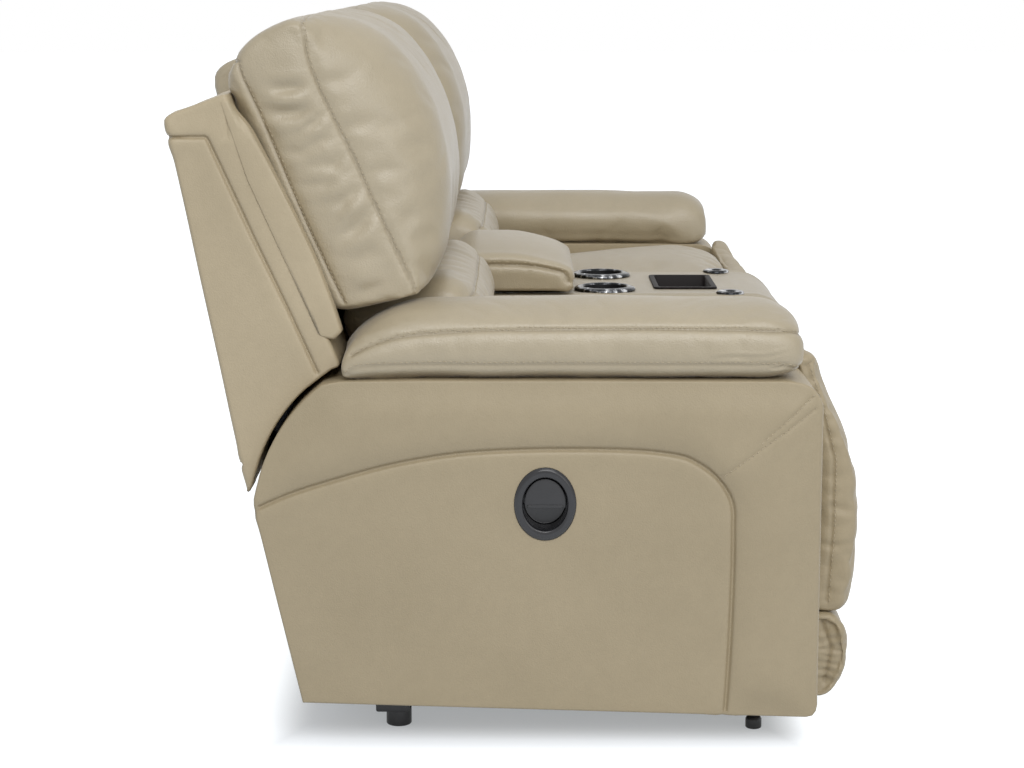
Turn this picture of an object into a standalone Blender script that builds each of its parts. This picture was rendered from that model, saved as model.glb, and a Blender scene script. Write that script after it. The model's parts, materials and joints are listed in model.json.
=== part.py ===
"""Reclining two-seat sofa with a centre console, as its separate pieces.

Metres. X runs along the sofa, the front faces -Y and Z is up. The origin is on
the floor, below the middle of the sofa's width and depth. Right and left are
those of a person who sits on it, so the right arm is at -X.
"""
import math

import bmesh
import bpy
from mathutils import Matrix, Vector

# Overall sizes
WIDTH = 1.900
ARM_WIDTH = 0.175
CONSOLE_WIDTH = 0.370
FRONT = 0.437
CLEAR = 0.0003
RUNNING = 0.0004
OVERCUT = 0.010
SMALL_EDGE = 0.002
SIDES = (("right", -1), ("left", 1))
SEAT_HALF = (WIDTH / 2 - ARM_WIDTH - CONSOLE_WIDTH / 2) / 2
SEAT_CENTRE = CONSOLE_WIDTH / 2 + SEAT_HALF
ARM_OUT = WIDTH / 2
ARM_IN = ARM_OUT - ARM_WIDTH

# Base frame: square steel tube and the plates welded on it
TUBE = 0.030
BASE_BOTTOM = 0.055
BASE_TOP = BASE_BOTTOM + TUBE
FRONT_RAIL = 0.375
REAR_RAIL = 0.2677
STEEL = 0.004
PLATE_GAP = 0.003
PLATE_EDGE = 0.005
PLATE_TOP = 0.345
PLATE_WELD = 0.010
PLATE_FOOT = (0.258, -0.170)
PLATE_HEEL = (0.322, 0.335)
PLATE_EYE = 0.022
PLATE_LAND = (0.240, -0.150)
PLATE_NOSE = (-0.200, 0.040)

# Back hinge, and the arc behind which the back's wing swings
BACK_PIVOT = (0.300, 0.370)
BACK_PIN = 0.006
WING_GAP = 0.007
WING_TIP = 0.0059
WING_SLOPE = math.radians(8.35)
ARM_ARC = (0.118, 0.330)
ARM_ARC_RADIUS = 0.256
BACK_SIDE_GAP = 0.006
BACK_OUT = ARM_OUT - 0.030
BACK_IN = CONSOLE_WIDTH / 2 + BACK_SIDE_GAP
BACK_EDGE = 0.008
PILLOW_SINK = 0.0005

# Y-Z lines of the back: rear face, top, and the front face that carries its pillows
WING_REACH = ARM_ARC_RADIUS + WING_GAP + WING_TIP
BACK_REAR = ((ARM_ARC[0] + WING_REACH * math.cos(WING_SLOPE),
              ARM_ARC[1] + WING_REACH * math.sin(WING_SLOPE)), (0.4895, 0.9045))
BACK_CROWN = ((0.4885, 0.9075), (0.4795, 0.9125))
BACK_TOP = (0.403, 0.939)
BACK_FRONT = ((0.363, 0.817), (0.247, 0.556))

# Back pillow: full section, and where its points lie on the flat side panels
PILLOW_OUT = ARM_OUT - 0.057
PILLOW_ROLL = 0.075
PILLOW_LINE = ((0.255, 0.620), (0.195, 0.640), (0.135, 0.660), (0.101, 0.705), (0.093, 0.800),
               (0.109, 0.912), (0.147, 0.990), (0.208, 1.040), (0.285, 1.059), (0.347, 1.040),
               (0.394, 1.004), (0.405, 0.952))
PILLOW_SIDE = ((0.240, 0.638), (0.198, 0.644), (0.157, 0.661), (0.164, 0.705), (0.203, 0.795),
               (0.252, 0.905), (0.284, 0.980), (0.301, 1.034), (0.318, 1.042), (0.348, 1.028),
               (0.384, 0.997), (0.392, 0.952), (0.352, 0.885), (0.314, 0.800), (0.283, 0.725),
               (0.256, 0.662))
PILLOW_SEAT = (0.880, 0.800, 0.725, 0.656)

# Lumbar pillow
LUMBAR_ROLL = 0.050
LUMBAR_DRAWN = 0.034
LUMBAR_INSET = 0.008
LUMBAR_LINE = ((0.228, 0.530), (0.120, 0.526), (0.045, 0.530), (0.028, 0.575), (0.045, 0.640),
               (0.100, 0.668), (0.190, 0.634), (0.245, 0.618))
LUMBAR_SEAT = (0.610, 0.580, 0.556)

# Arm
ARM_TOP = 0.5385
ARM_BOTTOM_FRONT = 0.046
ARM_BOTTOM_REAR = 0.066
ARM_REAR = 0.305
ARM_CORNER = 0.045
ARM_EDGE = 0.012
ARM_TOE = (0.004, 0.012)

# Arm pillow: section heights are over the arm's top
ARM_PAD_ROLL = 0.045
ARM_PAD_DRAWN = 0.030
ARM_PAD_OUT = 0.004
ARM_PAD_IN = 0.005
ARM_PAD_LINE = ((0.245, 0.0045), (0.2455, 0.042), (0.206, 0.087), (0.128, 0.1035), (-0.080, 0.105),
                (-0.260, 0.1065), (-0.372, 0.1065), (-0.414, 0.070), (-0.401, 0.0))
ARM_PAD_FLOOR = (-0.370, -0.050, 0.215)

# Latch cup and its paddle
LATCH = (-0.043, 0.362)
LATCH_RADIUS = 0.0445
LATCH_STRETCH = 1.2
CUP_RADIUS = 0.0345
CUP_WALL = 0.003
LATCH_DEPTH = 0.042
PADDLE_DEPTH = 0.006
PADDLE_BOTTOM = -0.007
PADDLE_HINGE = 0.022
PADDLE_GAP = 0.0015
PADDLE_LIP = 0.004
PADDLE_PIN = 0.002
BEZEL_FACE = 0.0035
CABLE_RADIUS = 0.003

# Seat slide
SLIDE_TRAVEL = 0.060
SLIDE_SLOPE = math.radians(5)
SLIDE_PIN = 0.006
SLIDE_PINS = ((0.110, 0.305), (-0.090, 0.305))

# Seat frame and its springs
SEAT_FLANGE = 0.039
FLANGE_TOP = 0.4015
FLANGE_RUN = (-0.200, 0.170)
SEAT_FRAME_HALF = SEAT_HALF - PLATE_EDGE - 2 * STEEL - PLATE_GAP - SEAT_FLANGE
SEAT_FRAME_FRONT = 0.395
SEAT_FRAME_REAR = 0.240
SEAT_FRAME_BOTTOM = 0.362
SEAT_FRAME_TOP = 0.4067
RAIL_WIDTH = 0.035

# Seat cushion
CUSHION_GAP = 0.0055
CUSHION_ROLL = 0.070
CUSHION_DRAWN = 0.034
CUSHION_LINE = ((0.250, 0.460), (0.240, 0.504), (0.100, 0.516), (-0.100, 0.538), (-0.280, 0.556),
                (-0.392, 0.556), (-0.4195, 0.514), (-0.4185, 0.440))
CUSHION_FLOOR = (-0.400, -0.365, -0.080, 0.210, 0.240)

# Seat springs
SPRING_COUNT = 4
SPRING_WAVES = 6
SPRING_SWING = 0.022
SPRING_WIRE = 0.002

# Footrest linkage: pivots as (distance forward, height), footrest closed
CRANK_PIVOT = (0.280, 0.290)
CRANK_TIP = (0.180, 0.125)
FOOT_PIVOT = (0.420, 0.380)
FOOT_PIVOT_OPEN = (0.660, 0.420)
FRONT_PIN_SHARE = 0.3909
FRONT_PIVOT_OFFSET = 0.1416
CONTROL_ARM = 0.0935
CONTROL_BEND = 0.302
CONTROL_REACH = 0.0892
CONTROL_ANGLE = -1.9558
LINK_HALF = 0.010
BOSS = 0.012
RIVET = 0.005
TORQUE_TUBE = 0.011

# Footrest
BOARD_REAR = 0.437
BOARD_THICK = 0.0145
BOARD_HALF = SEAT_HALF - 0.025
BOARD_BOTTOM = 0.055
BOARD_TOP = 0.443
PAD_HALF = SEAT_HALF - 0.0085
UPPER_ROLL = 0.040
UPPER_DRAWN = 0.014
UPPER_LINE = ((-0.468, 0.158), (-0.503, 0.160), (-0.518, 0.215), (-0.519, 0.300), (-0.508, 0.390),
              (-0.470, 0.476), (-0.434, 0.553), (-0.4215, 0.549), (-0.4225, 0.485),
              (-0.440, 0.470), (-0.456, 0.452))
UPPER_SEAT = (0.380, 0.300, 0.220)
LOWER_ROLL = 0.024
LOWER_DRAWN = 0.006
LOWER_LINE = ((-0.472, 0.154), (-0.503, 0.140), (-0.503, 0.090), (-0.481, 0.026), (-0.456, 0.028))
LOWER_SEAT = (0.060, 0.095, 0.130)
BRACE_HEIGHT = 0.030
BRACE_THICK = 0.006
BRACE_BOTTOM = 0.300

# Console
DECK = 0.5565
CONSOLE_REAR = 0.250
CONSOLE_FRONT = -0.485
CONSOLE_NOSE = 0.075
CONSOLE_EDGE = 0.012
CUP_CENTRE = (0.100, -0.158)
CUP_RIM = 0.0545
CUP_BODY = 0.045
CUP_DEPTH = 0.075
CUP_THICK = 0.002
RIM_THICK = 0.0035
TRAY_CENTRE = -0.301
TRAY_HALF = (0.090, 0.056)
TRAY_DEPTH = 0.022
TRAY_RIM = 0.007
TRAY_WALL = 0.003
DOCK_CENTRE = (0.150, -0.374)
DOCK_RIM = 0.0245
DOCK_BODY = 0.016
DOCK_BORE = 0.009
DOCK_DEPTH = 0.030
BIN_HALF = 0.125
BIN_FRONT = -0.082
BIN_REAR = 0.035
BIN_BOTTOM = 0.360
LID_HALF = CONSOLE_WIDTH / 2 - 0.002
LID_PIVOT = (0.066, DECK + 0.0485)
LID_RADIUS = 0.042
LID_EDGE = 0.012
LID_FRONT = 0.102
LUG_HALF = 0.025
LUG_WIDTH = 0.010
LID_PIN = 0.004

# Console back: section over the deck, from its rear foot round to the deck's front of it
PANEL_EDGE = 0.010
CONSOLE_BACK_FOOT = 0.390
CONSOLE_BACK_REAR = 0.392
CONSOLE_BACK_LINE = ((0.510, 0.905), (0.509, 0.938), (0.484, 0.956), (0.450, 0.966),
                     (0.395, 0.966), (0.345, 0.945), (0.300, 0.890), (0.215, 0.755),
                     (0.160, 0.672), (0.133, 0.620))
CONSOLE_BACK_FRONT = 0.128

# Rear cover board
REAR_PANEL = ((0.283, 0.066), (0.295, 0.066), (0.3635, 0.352), (0.3515, 0.352))

# Glides
FRONT_GLIDE = (ARM_OUT - 0.100, -0.3545)
REAR_GLIDE = (ARM_OUT - 0.120, 0.173)
GLIDE_STUB = 0.007
GLIDE_FOOT = 0.012
FOOT_HEIGHT = 0.015
FOOT_EDGE = 0.003
BLOCK_HALF = 0.030
BLOCK_REACH = (0.017, 0.033)
BLOCK_BOTTOM = 0.026
BLOCK_FOOT = 0.019

# Turn of the ring halfway round a cushion's end
ROLL_MIDDLE = 42

# Standing turns the X-Y plane of an outline into the Y-Z plane
STANDING = Matrix(((0, 0, 1, 0), (1, 0, 0, 0), (0, 1, 0, 0), (0, 0, 0, 1)))


def clear_scene():
    for old in list(bpy.data.objects):
        bpy.data.objects.remove(old, do_unlink=True)


def new_collection(name):
    group = bpy.data.collections.new(name)
    bpy.context.scene.collection.children.link(group)
    return group


clear_scene()
PARTS = new_collection("reclining_loveseat")
CUTTERS = new_collection("cutters")


def material(name, colour, roughness, metallic=0.0):
    """Principled material of one colour, made once for each name."""
    found = bpy.data.materials.get(name)
    if found:
        return found
    made = bpy.data.materials.new(name)
    made.use_nodes = True
    shader = made.node_tree.nodes["Principled BSDF"]
    shader.inputs["Base Color"].default_value = (*colour, 1.0)
    shader.inputs["Roughness"].default_value = roughness
    shader.inputs["Metallic"].default_value = metallic
    return made


def leather():
    return material("beige_leather", (0.55, 0.47, 0.33), 0.45)


def panel_leather():
    return material("panel_leather", (0.50, 0.43, 0.30), 0.5)


def steel():
    return material("black_steel", (0.04, 0.04, 0.045), 0.4, 1.0)


def wood():
    return material("plywood", (0.55, 0.40, 0.24), 0.7)


def black_plastic():
    return material("black_plastic", (0.02, 0.02, 0.022), 0.35)


def chrome():
    return material("chrome", (0.8, 0.8, 0.82), 0.1, 1.0)


def tray_black():
    return material("black_tray", (0.015, 0.014, 0.014), 0.3)


def rubber():
    return material("cable_sheath", (0.03, 0.03, 0.03), 0.6)


def place(name, mesh, finish=None, group=None):
    """Object of a mesh in a collection; without a finish it is a cutter."""
    thing = bpy.data.objects.new(name, mesh)
    (group or PARTS).objects.link(thing)
    if finish:
        mesh.materials.clear()
        mesh.materials.append(finish)
    else:
        thing.hide_render = True
        thing.display_type = "WIRE"
    return thing


def tool(name, mesh):
    return place(name, mesh, None, CUTTERS)


def boolean(thing, other, operation):
    step = thing.modifiers.new(operation.lower(), "BOOLEAN")
    step.operation = operation
    step.solver = "EXACT"
    step.object = other
    return step


def cut(thing, mesh):
    boolean(thing, tool(thing.name + "_cut", mesh), "DIFFERENCE")


def fuse(thing, mesh):
    boolean(thing, tool(thing.name + "_joined", mesh), "UNION")


def bevel(thing, width, segments=2, angle=35):
    step = thing.modifiers.new("bevel", "BEVEL")
    step.width = width
    step.segments = segments
    step.limit_method = "ANGLE"
    step.angle_limit = math.radians(angle)
    return step


def soften(thing, levels=1):
    step = thing.modifiers.new("subdivision", "SUBSURF")
    step.levels = levels
    step.render_levels = levels
    thing.data.shade_smooth()
    return step


def mesh_from(builder, name="mesh"):
    """Mesh of a bmesh that a function fills, with its faces pointing out."""
    work = bmesh.new()
    builder(work)
    bmesh.ops.recalc_face_normals(work, faces=work.faces)
    mesh = bpy.data.meshes.new(name)
    work.to_mesh(mesh)
    work.free()
    return mesh


def box(low, high):
    size = Vector(high) - Vector(low)
    middle = (Vector(high) + Vector(low)) / 2
    frame = Matrix.Translation(middle) @ Matrix.Diagonal((*size, 1))
    return mesh_from(lambda work: bmesh.ops.create_cube(work, size=1, matrix=frame))


def rod(start, end, radius, steps=10):
    """Cylinder between two points."""
    start, end = Vector(start), Vector(end)
    turn = (end - start).to_track_quat("Z", "Y").to_matrix().to_4x4()
    frame = Matrix.Translation((start + end) / 2) @ turn

    def build(work):
        bmesh.ops.create_cone(work, cap_ends=True, segments=steps, radius1=radius,
                              radius2=radius, depth=(end - start).length, matrix=frame)
    return mesh_from(build)


def across(side, near, far, y, z, radius, steps=10):
    """Cylinder along X from one distance off the middle plane to another."""
    return rod((side * near, y, z), (side * far, y, z), radius, steps)


def slab(outline, side, near, far, holes=()):
    """Y-Z outline with its holes, as thick as near to far off the middle plane."""
    curve = bpy.data.curves.new("outline", "CURVE")
    curve.dimensions = "2D"
    curve.fill_mode = "BOTH"
    curve.extrude = abs(far - near) / 2
    for ring in (outline, *holes):
        spline = curve.splines.new("POLY")
        spline.points.add(len(ring) - 1)
        spline.use_cyclic_u = True
        for point, (y, z) in zip(spline.points, ring):
            point.co = (y, z, 0, 1)
    holder = bpy.data.objects.new("outline", curve)
    bpy.context.scene.collection.objects.link(holder)
    holder.matrix_world = Matrix.Translation((side * (near + far) / 2, 0, 0)) @ STANDING
    graph = bpy.context.evaluated_depsgraph_get()
    flat = bpy.data.meshes.new_from_object(holder.evaluated_get(graph))
    frame = holder.matrix_world.copy()
    bpy.data.objects.remove(holder)

    def build(work):
        work.from_mesh(flat)
        work.transform(frame)
        bmesh.ops.remove_doubles(work, verts=work.verts, dist=0.000001)
        bmesh.ops.dissolve_limit(work, angle_limit=0.001, verts=work.verts, edges=work.edges)
    return mesh_from(build)


def arc(centre, radius, start, end, steps):
    """Points of an arc, with its angles in degrees."""
    points = []
    for step in range(steps + 1):
        angle = math.radians(start + (end - start) * step / steps)
        points.append((centre[0] + radius * math.cos(angle), centre[1] + radius * math.sin(angle)))
    return points


def circle(centre, radius, steps=10):
    return arc(centre, radius, 0, 360 * (steps - 1) / steps, steps - 1)


def rounded_hull(*discs, steps=10):
    """Outline round discs given as (y, z, radius), as a link or bracket has."""
    cloud = sorted({point for y, z, radius in discs for point in circle((y, z), radius, steps)})

    def half(points):
        chain = []
        for point in points:
            while len(chain) > 1 and turn_of(chain[-2], chain[-1], point) <= 0:
                chain.pop()
            chain.append(point)
        return chain[:-1]
    return half(cloud) + half(cloud[::-1])


def strap(points, half, steps=5):
    """Outline of a flat strap along a bent line, with round ends and mitred bends."""
    start, end = points[0], points[-1]
    first, last = angle_to(start, points[1]), angle_to(points[-2], end)
    left, right = [], []
    for before, bend, after in zip(points, points[1:], points[2:]):
        incoming, outgoing = angle_to(before, bend), angle_to(bend, after)
        reach = half / math.cos((outgoing - incoming) / 2)
        normal = (incoming + outgoing) / 2 + math.pi / 2
        left.append(polar(bend, reach, normal))
        right.append(polar(bend, -reach, normal))
    turn = math.degrees(first)
    cap = arc(start, half, turn + 90, turn + 270, steps)
    turn = math.degrees(last)
    return [*cap, *right, *arc(end, half, turn - 90, turn + 90, steps), *left[::-1]]


def turn_of(first, second, third):
    return ((second[0] - first[0]) * (third[1] - first[1])
            - (second[1] - first[1]) * (third[0] - first[0]))


def polar(centre, radius, angle):
    return (centre[0] + radius * math.cos(angle), centre[1] + radius * math.sin(angle))


def angle_to(start, end):
    return math.atan2(end[1] - start[1], end[0] - start[0])


def loft(rings):
    """Closed solid through rings of as many points each."""
    def build(work):
        rows = [[work.verts.new(point) for point in ring] for ring in rings]
        count = len(rings[0])
        for first, second in zip(rows, rows[1:]):
            for index in range(count):
                following = (index + 1) % count
                work.faces.new((first[index], first[following], second[following], second[index]))
        work.faces.new(rows[0][::-1])
        work.faces.new(rows[-1])
    return mesh_from(build)


def cushion(name, outline, side, near, far, roll, finish, ends):
    """Padded form of a Y-Z outline whose two ends along X are drawn in to a smaller one.

    The outline grows from the ends' to its own over the width roll, as a quarter
    of an ellipse, and keeps that size between.
    """
    length = far - near
    stations = [(roll * (1 - math.cos(turn)), math.sin(turn))
                for turn in (0, math.radians(ROLL_MIDDLE), math.pi / 2)]
    stations += [(length - station, share) for station, share in stations[::-1]]
    rings = []
    for station, share in stations:
        rings.append([(side * (near + station), *along(end, full, share))
                      for end, full in zip(ends, outline)])
    thing = place(name, loft(rings), finish)
    soften(thing)
    return thing


def drawn_in(outline, inset, floor=None):
    """Outline drawn in towards its own middle, as a cushion's ends are, but flat on its floor."""
    count = len(outline)
    middle = (sum(y for y, z in outline) / count, sum(z for y, z in outline) / count)
    half_y = (max(y for y, z in outline) - min(y for y, z in outline)) / 2
    half_z = (max(z for y, z in outline) - min(z for y, z in outline)) / 2
    return [(middle[0] + (y - middle[0]) * (1 - inset / half_y),
             z if z == floor else middle[1] + (z - middle[1]) * (1 - inset / half_z))
            for y, z in outline]


def turned(name, profile, finish, steps=24, group=None):
    """Solid turned about Z from a closed profile of (radius, height) points."""
    mesh = bpy.data.meshes.new(name)
    points = [(radius, 0, height) for radius, height in profile]
    edges = [(index, index + 1) for index in range(len(points) - 1)]
    mesh.from_pydata(points, edges, [])
    thing = place(name, mesh, finish, group)
    step = thing.modifiers.new("screw", "SCREW")
    step.steps = steps
    step.render_steps = steps
    step.use_merge_vertices = True
    step.merge_threshold = 0.00001
    return thing


def plane(level):
    """Distances from a seat's middle to the two faces of a steel plate level."""
    outer = SEAT_HALF - PLATE_EDGE - level * (STEEL + PLATE_GAP)
    return outer - STEEL, outer


# Outer outlines in Y and Z


def back_outline():
    """Upholstered back with the wing's lower edge, which clears the arm's arc."""
    sweep = arc(ARM_ARC, ARM_ARC_RADIUS + WING_GAP, 57, 10, 6)
    return [*BACK_REAR, *BACK_CROWN, BACK_TOP, *BACK_FRONT, *sweep]


def on_back(z):
    """Point just in front of the face that carries the back's pillows."""
    high, low = (BACK_TOP, BACK_FRONT[0]) if z > BACK_FRONT[0][1] else BACK_FRONT
    return (low[0] + (high[0] - low[0]) * (z - low[1]) / (high[1] - low[1]) - PILLOW_SINK, z)


def arm_outline():
    front_top = (-FRONT + ARM_CORNER, ARM_TOP - ARM_CORNER)
    curve = [point for point in arc(ARM_ARC, ARM_ARC_RADIUS, 7, 54.5, 8)]
    inner, outer = ARM_TOE
    return [(ARM_REAR, ARM_BOTTOM_REAR), *curve, (ARM_PAD_LINE[0][0], ARM_TOP),
            *arc(front_top, ARM_CORNER, 90, 180, 5),
            (-FRONT, ARM_BOTTOM_FRONT + outer), (-FRONT + inner, ARM_BOTTOM_FRONT + inner),
            (-FRONT + outer, bottom_of_arm(-FRONT + outer))]


def bottom_of_arm(y):
    share = (y + FRONT) / (FRONT + ARM_REAR)
    return ARM_BOTTOM_FRONT + (ARM_BOTTOM_REAR - ARM_BOTTOM_FRONT) * share


# Base

def base_frame():
    outer = ARM_IN - CLEAR
    inner = CONSOLE_WIDTH / 2 + CLEAR
    base = place("base_frame", box((-outer, -FRONT_RAIL - TUBE / 2, BASE_BOTTOM),
                                   (outer, -FRONT_RAIL + TUBE / 2, BASE_TOP)), steel())
    fuse(base, box((-outer, REAR_RAIL - TUBE / 2, BASE_BOTTOM),
                   (outer, REAR_RAIL + TUBE / 2, BASE_TOP)))
    reach = (-FRONT_RAIL - TUBE / 2 + 0.002, REAR_RAIL + TUBE / 2 - 0.002)
    for _, side in SIDES:
        for low, high in ((outer - TUBE, outer - 0.001), (inner + 0.001, inner + TUBE)):
            xs = sorted((side * low, side * high))
            fuse(base, box((xs[0], reach[0], BASE_BOTTOM + 0.001),
                           (xs[1], reach[1], BASE_TOP - 0.001)))
    for _, side in SIDES:
        for near, far in seat_sides(side, 0):
            fuse(base, base_plate(near, far))
    return base


def seat_sides(side, level):
    """X limits of a plate level on the two sides of one seat, outer side first."""
    near, far = plane(level)
    return ((side * (SEAT_CENTRE + near), side * (SEAT_CENTRE + far)),
            (side * (SEAT_CENTRE - near), side * (SEAT_CENTRE - far)))


def base_plate(near, far):
    """Welded upright with the slots that carry the seat and the back's pivot hole."""
    foot = BASE_TOP - PLATE_WELD
    outline = [(PLATE_FOOT[0], foot), PLATE_HEEL, *arc(BACK_PIVOT, PLATE_EYE, -15, 160, 8),
               (PLATE_LAND[0], PLATE_TOP), (PLATE_LAND[1], PLATE_TOP),
               (PLATE_NOSE[0], PLATE_TOP - PLATE_NOSE[1]), (PLATE_FOOT[1], foot)]
    holes = [circle(BACK_PIVOT, BACK_PIN + RUNNING)]
    for y, z in SLIDE_PINS:
        end = (y - SLIDE_TRAVEL * math.cos(SLIDE_SLOPE), z + SLIDE_TRAVEL * math.sin(SLIDE_SLOPE))
        radius = SLIDE_PIN + RUNNING
        holes.append(rounded_hull((y, z, radius), (*end, radius)))
    return slab(outline, 1, near, far, holes)


def glides():
    for word, side in SIDES:
        x, y = side * FRONT_GLIDE[0], FRONT_GLIDE[1]
        top = bottom_of_arm(y - GLIDE_STUB) - CLEAR
        glide = turned(word + "_front_glide",
                       [(0, top), (GLIDE_STUB, top), (GLIDE_STUB, FOOT_HEIGHT + FOOT_EDGE),
                        (GLIDE_FOOT, FOOT_HEIGHT), (GLIDE_FOOT, FOOT_EDGE),
                        (GLIDE_FOOT - FOOT_EDGE, 0), (0, 0)], black_plastic(), 12)
        glide.location = (x, y, 0)
        x, y = side * REAR_GLIDE[0], REAR_GLIDE[1]
        ahead, behind = BLOCK_REACH
        top = bottom_of_arm(y - ahead) - CLEAR
        block = place(word + "_rear_glide",
                      box((x - BLOCK_HALF, y - ahead, BLOCK_BOTTOM),
                          (x + BLOCK_HALF, y + behind, top)), black_plastic())
        bevel(block, SMALL_EDGE, 1)
        fuse(block, rod((x, y, 0), (x, y, (BLOCK_BOTTOM + top) / 2), BLOCK_FOOT))


# Arms

def arm(word, side):
    body = place(word + "_arm_body", slab(arm_outline(), side, ARM_IN, ARM_OUT), panel_leather())
    bevel(body, ARM_EDGE, 2, 40)
    pocket = [(y, LATCH[1] + (z - LATCH[1]) * LATCH_STRETCH)
              for y, z in circle(LATCH, CUP_RADIUS + CLEAR, 24)]
    cut(body, slab(pocket, side, ARM_OUT - LATCH_DEPTH - CLEAR, ARM_OUT + OVERCUT))
    cut(body, across(side, ARM_IN - OVERCUT, ARM_OUT - LATCH_DEPTH + OVERCUT,
                     *LATCH, CABLE_RADIUS + CLEAR, 12))


def arm_pillow(word, side):
    under = ARM_TOP + CLEAR
    outline = [*((y, under + z) for y, z in ARM_PAD_LINE), *((y, under) for y in ARM_PAD_FLOOR)]
    cushion(word + "_arm_pillow", outline, side, ARM_IN - ARM_PAD_IN, ARM_OUT + ARM_PAD_OUT,
            ARM_PAD_ROLL, leather(), drawn_in(outline, ARM_PAD_DRAWN, under))


def latch(word, side):
    """Oval cup in the arm, with the paddle hung across its upper half."""
    face = BEZEL_FACE
    bezel = turned(word + "_latch_bezel",
                   [(0, -LATCH_DEPTH + CUP_WALL), (CUP_RADIUS - CUP_WALL, -LATCH_DEPTH + CUP_WALL),
                    (CUP_RADIUS - CUP_WALL, face - 0.001), (CUP_RADIUS - 0.001, face + 0.001),
                    (LATCH_RADIUS - 0.004, face), (LATCH_RADIUS, 0.0012),
                    (LATCH_RADIUS, CLEAR), (CUP_RADIUS, CLEAR), (CUP_RADIUS, -LATCH_DEPTH),
                    (0, -LATCH_DEPTH)], black_plastic(), 24)
    bezel.location = (side * ARM_OUT, *LATCH)
    bezel.rotation_euler = (0, side * math.pi / 2, 0)
    bezel.scale = (LATCH_STRETCH, 1, 1)
    hinge_z = LATCH[1] + PADDLE_HINGE
    inner = CUP_RADIUS - CUP_WALL - PADDLE_GAP
    start = math.degrees(math.asin(PADDLE_BOTTOM / inner / LATCH_STRETCH))
    ring = [(y, LATCH[1] + (z - LATCH[1]) * LATCH_STRETCH)
            for y, z in arc(LATCH, inner, start, 180 - start, 14)]
    face_x = ARM_OUT - 0.004
    paddle = place(word + "_latch_paddle", slab(ring, side, face_x - PADDLE_DEPTH, face_x),
                   black_plastic())
    lip_y = inner * 0.85
    lip_z = LATCH[1] + PADDLE_BOTTOM
    xs = sorted((side * (face_x - 0.012), side * (face_x - 0.002)))
    fuse(paddle, box((xs[0], LATCH[0] - lip_y, lip_z + 0.0002),
                     (xs[1], LATCH[0] + lip_y, lip_z + PADDLE_LIP)))
    wall = CUP_RADIUS - CUP_WALL
    reach = wall * math.sqrt(1 - (PADDLE_HINGE / LATCH_STRETCH / wall) ** 2) - 0.0022
    pin_x = side * (face_x - PADDLE_DEPTH / 2)
    fuse(paddle, rod((pin_x, LATCH[0] - reach, hinge_z), (pin_x, LATCH[0] + reach, hinge_z),
                     PADDLE_PIN, 12))
    place(word + "_release_cable",
          across(side, ARM_IN - PLATE_EDGE + CLEAR, ARM_OUT - LATCH_DEPTH - CLEAR, *LATCH,
                 CABLE_RADIUS, 12), rubber())


# Backs

def back(word, side):
    frame = place(word + "_back_frame", slab(back_outline(), side, BACK_IN, BACK_OUT),
                  panel_leather())
    bevel(frame, BACK_EDGE, 2, 40)
    bracket = rounded_hull((*BACK_PIVOT, 0.016), (0.352, 0.470, 0.020), (0.372, 0.470, 0.010))
    for (near, far), (_, outer) in zip(seat_sides(side, 1), seat_sides(side, 0)):
        fuse(frame, slab(bracket, 1, near, far))
        fuse(frame, rod(((near + far) / 2, *BACK_PIVOT), (outer, *BACK_PIVOT), BACK_PIN))
    pillow = [*PILLOW_LINE, *(on_back(z) for z in PILLOW_SEAT)]
    cushion(word + "_back_pillow", pillow, side, BACK_IN, PILLOW_OUT, PILLOW_ROLL, leather(),
            PILLOW_SIDE)
    lumbar = [*LUMBAR_LINE, *(on_back(z) for z in LUMBAR_SEAT)]
    cushion(word + "_lumbar_pillow", lumbar, side, BACK_IN + LUMBAR_INSET,
            ARM_IN - LUMBAR_INSET, LUMBAR_ROLL, leather(), drawn_in(lumbar, LUMBAR_DRAWN))


# Seats

def seat(word, side):
    seat_frame(word, side)
    under = SEAT_FRAME_TOP + CLEAR
    outline = [*CUSHION_LINE, *((y, under) for y in CUSHION_FLOOR)]
    ends = drawn_in(outline, CUSHION_DRAWN, under)
    near = SEAT_CENTRE - SEAT_HALF + CUSHION_GAP
    far = SEAT_CENTRE + SEAT_HALF - CUSHION_GAP
    cushion(word + "_seat_cushion", outline, side, near, far, CUSHION_ROLL, leather(), ends)
    for label, (near, far), (_, reach) in zip(("outer", "inner"), seat_sides(side, 1),
                                              seat_sides(side, 0)):
        seat_plate(word + "_" + label + "_seat_plate", side, near, far, reach)


def seat_frame(word, side):
    """Timber ring with serpentine springs from its front rail to its rear one."""
    x = side * SEAT_CENTRE
    frame = place(word + "_seat_frame",
                  box((x - SEAT_FRAME_HALF, -SEAT_FRAME_FRONT, SEAT_FRAME_BOTTOM),
                      (x + SEAT_FRAME_HALF, SEAT_FRAME_REAR, SEAT_FRAME_TOP)), wood())
    hole = SEAT_FRAME_HALF - RAIL_WIDTH
    cut(frame, box((x - hole, -SEAT_FRAME_FRONT + RAIL_WIDTH, SEAT_FRAME_BOTTOM - OVERCUT),
                   (x + hole, SEAT_FRAME_REAR - RAIL_WIDTH, SEAT_FRAME_TOP + OVERCUT)))
    for index in range(SPRING_COUNT):
        offset = (index + 0.5) / SPRING_COUNT * 2 * hole - hole
        fuse(frame, spring(x + offset))


def spring(x):
    """Serpentine spring: a flat zigzag wire whose ends are held in the rails."""
    front = -SEAT_FRAME_FRONT + RAIL_WIDTH / 2
    rear = SEAT_FRAME_REAR - RAIL_WIDTH / 2
    height = SEAT_FRAME_TOP - 0.012
    points = [(x, front, height)]
    for turn in range(SPRING_WAVES):
        for share, sign in ((0.25, 1), (0.75, -1)):
            along = front + (rear - front) * (turn + share) / SPRING_WAVES
            points.append((x + sign * SPRING_SWING, along, height))
    points.append((x, rear, height))
    return wire(points, SPRING_WIRE)


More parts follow.
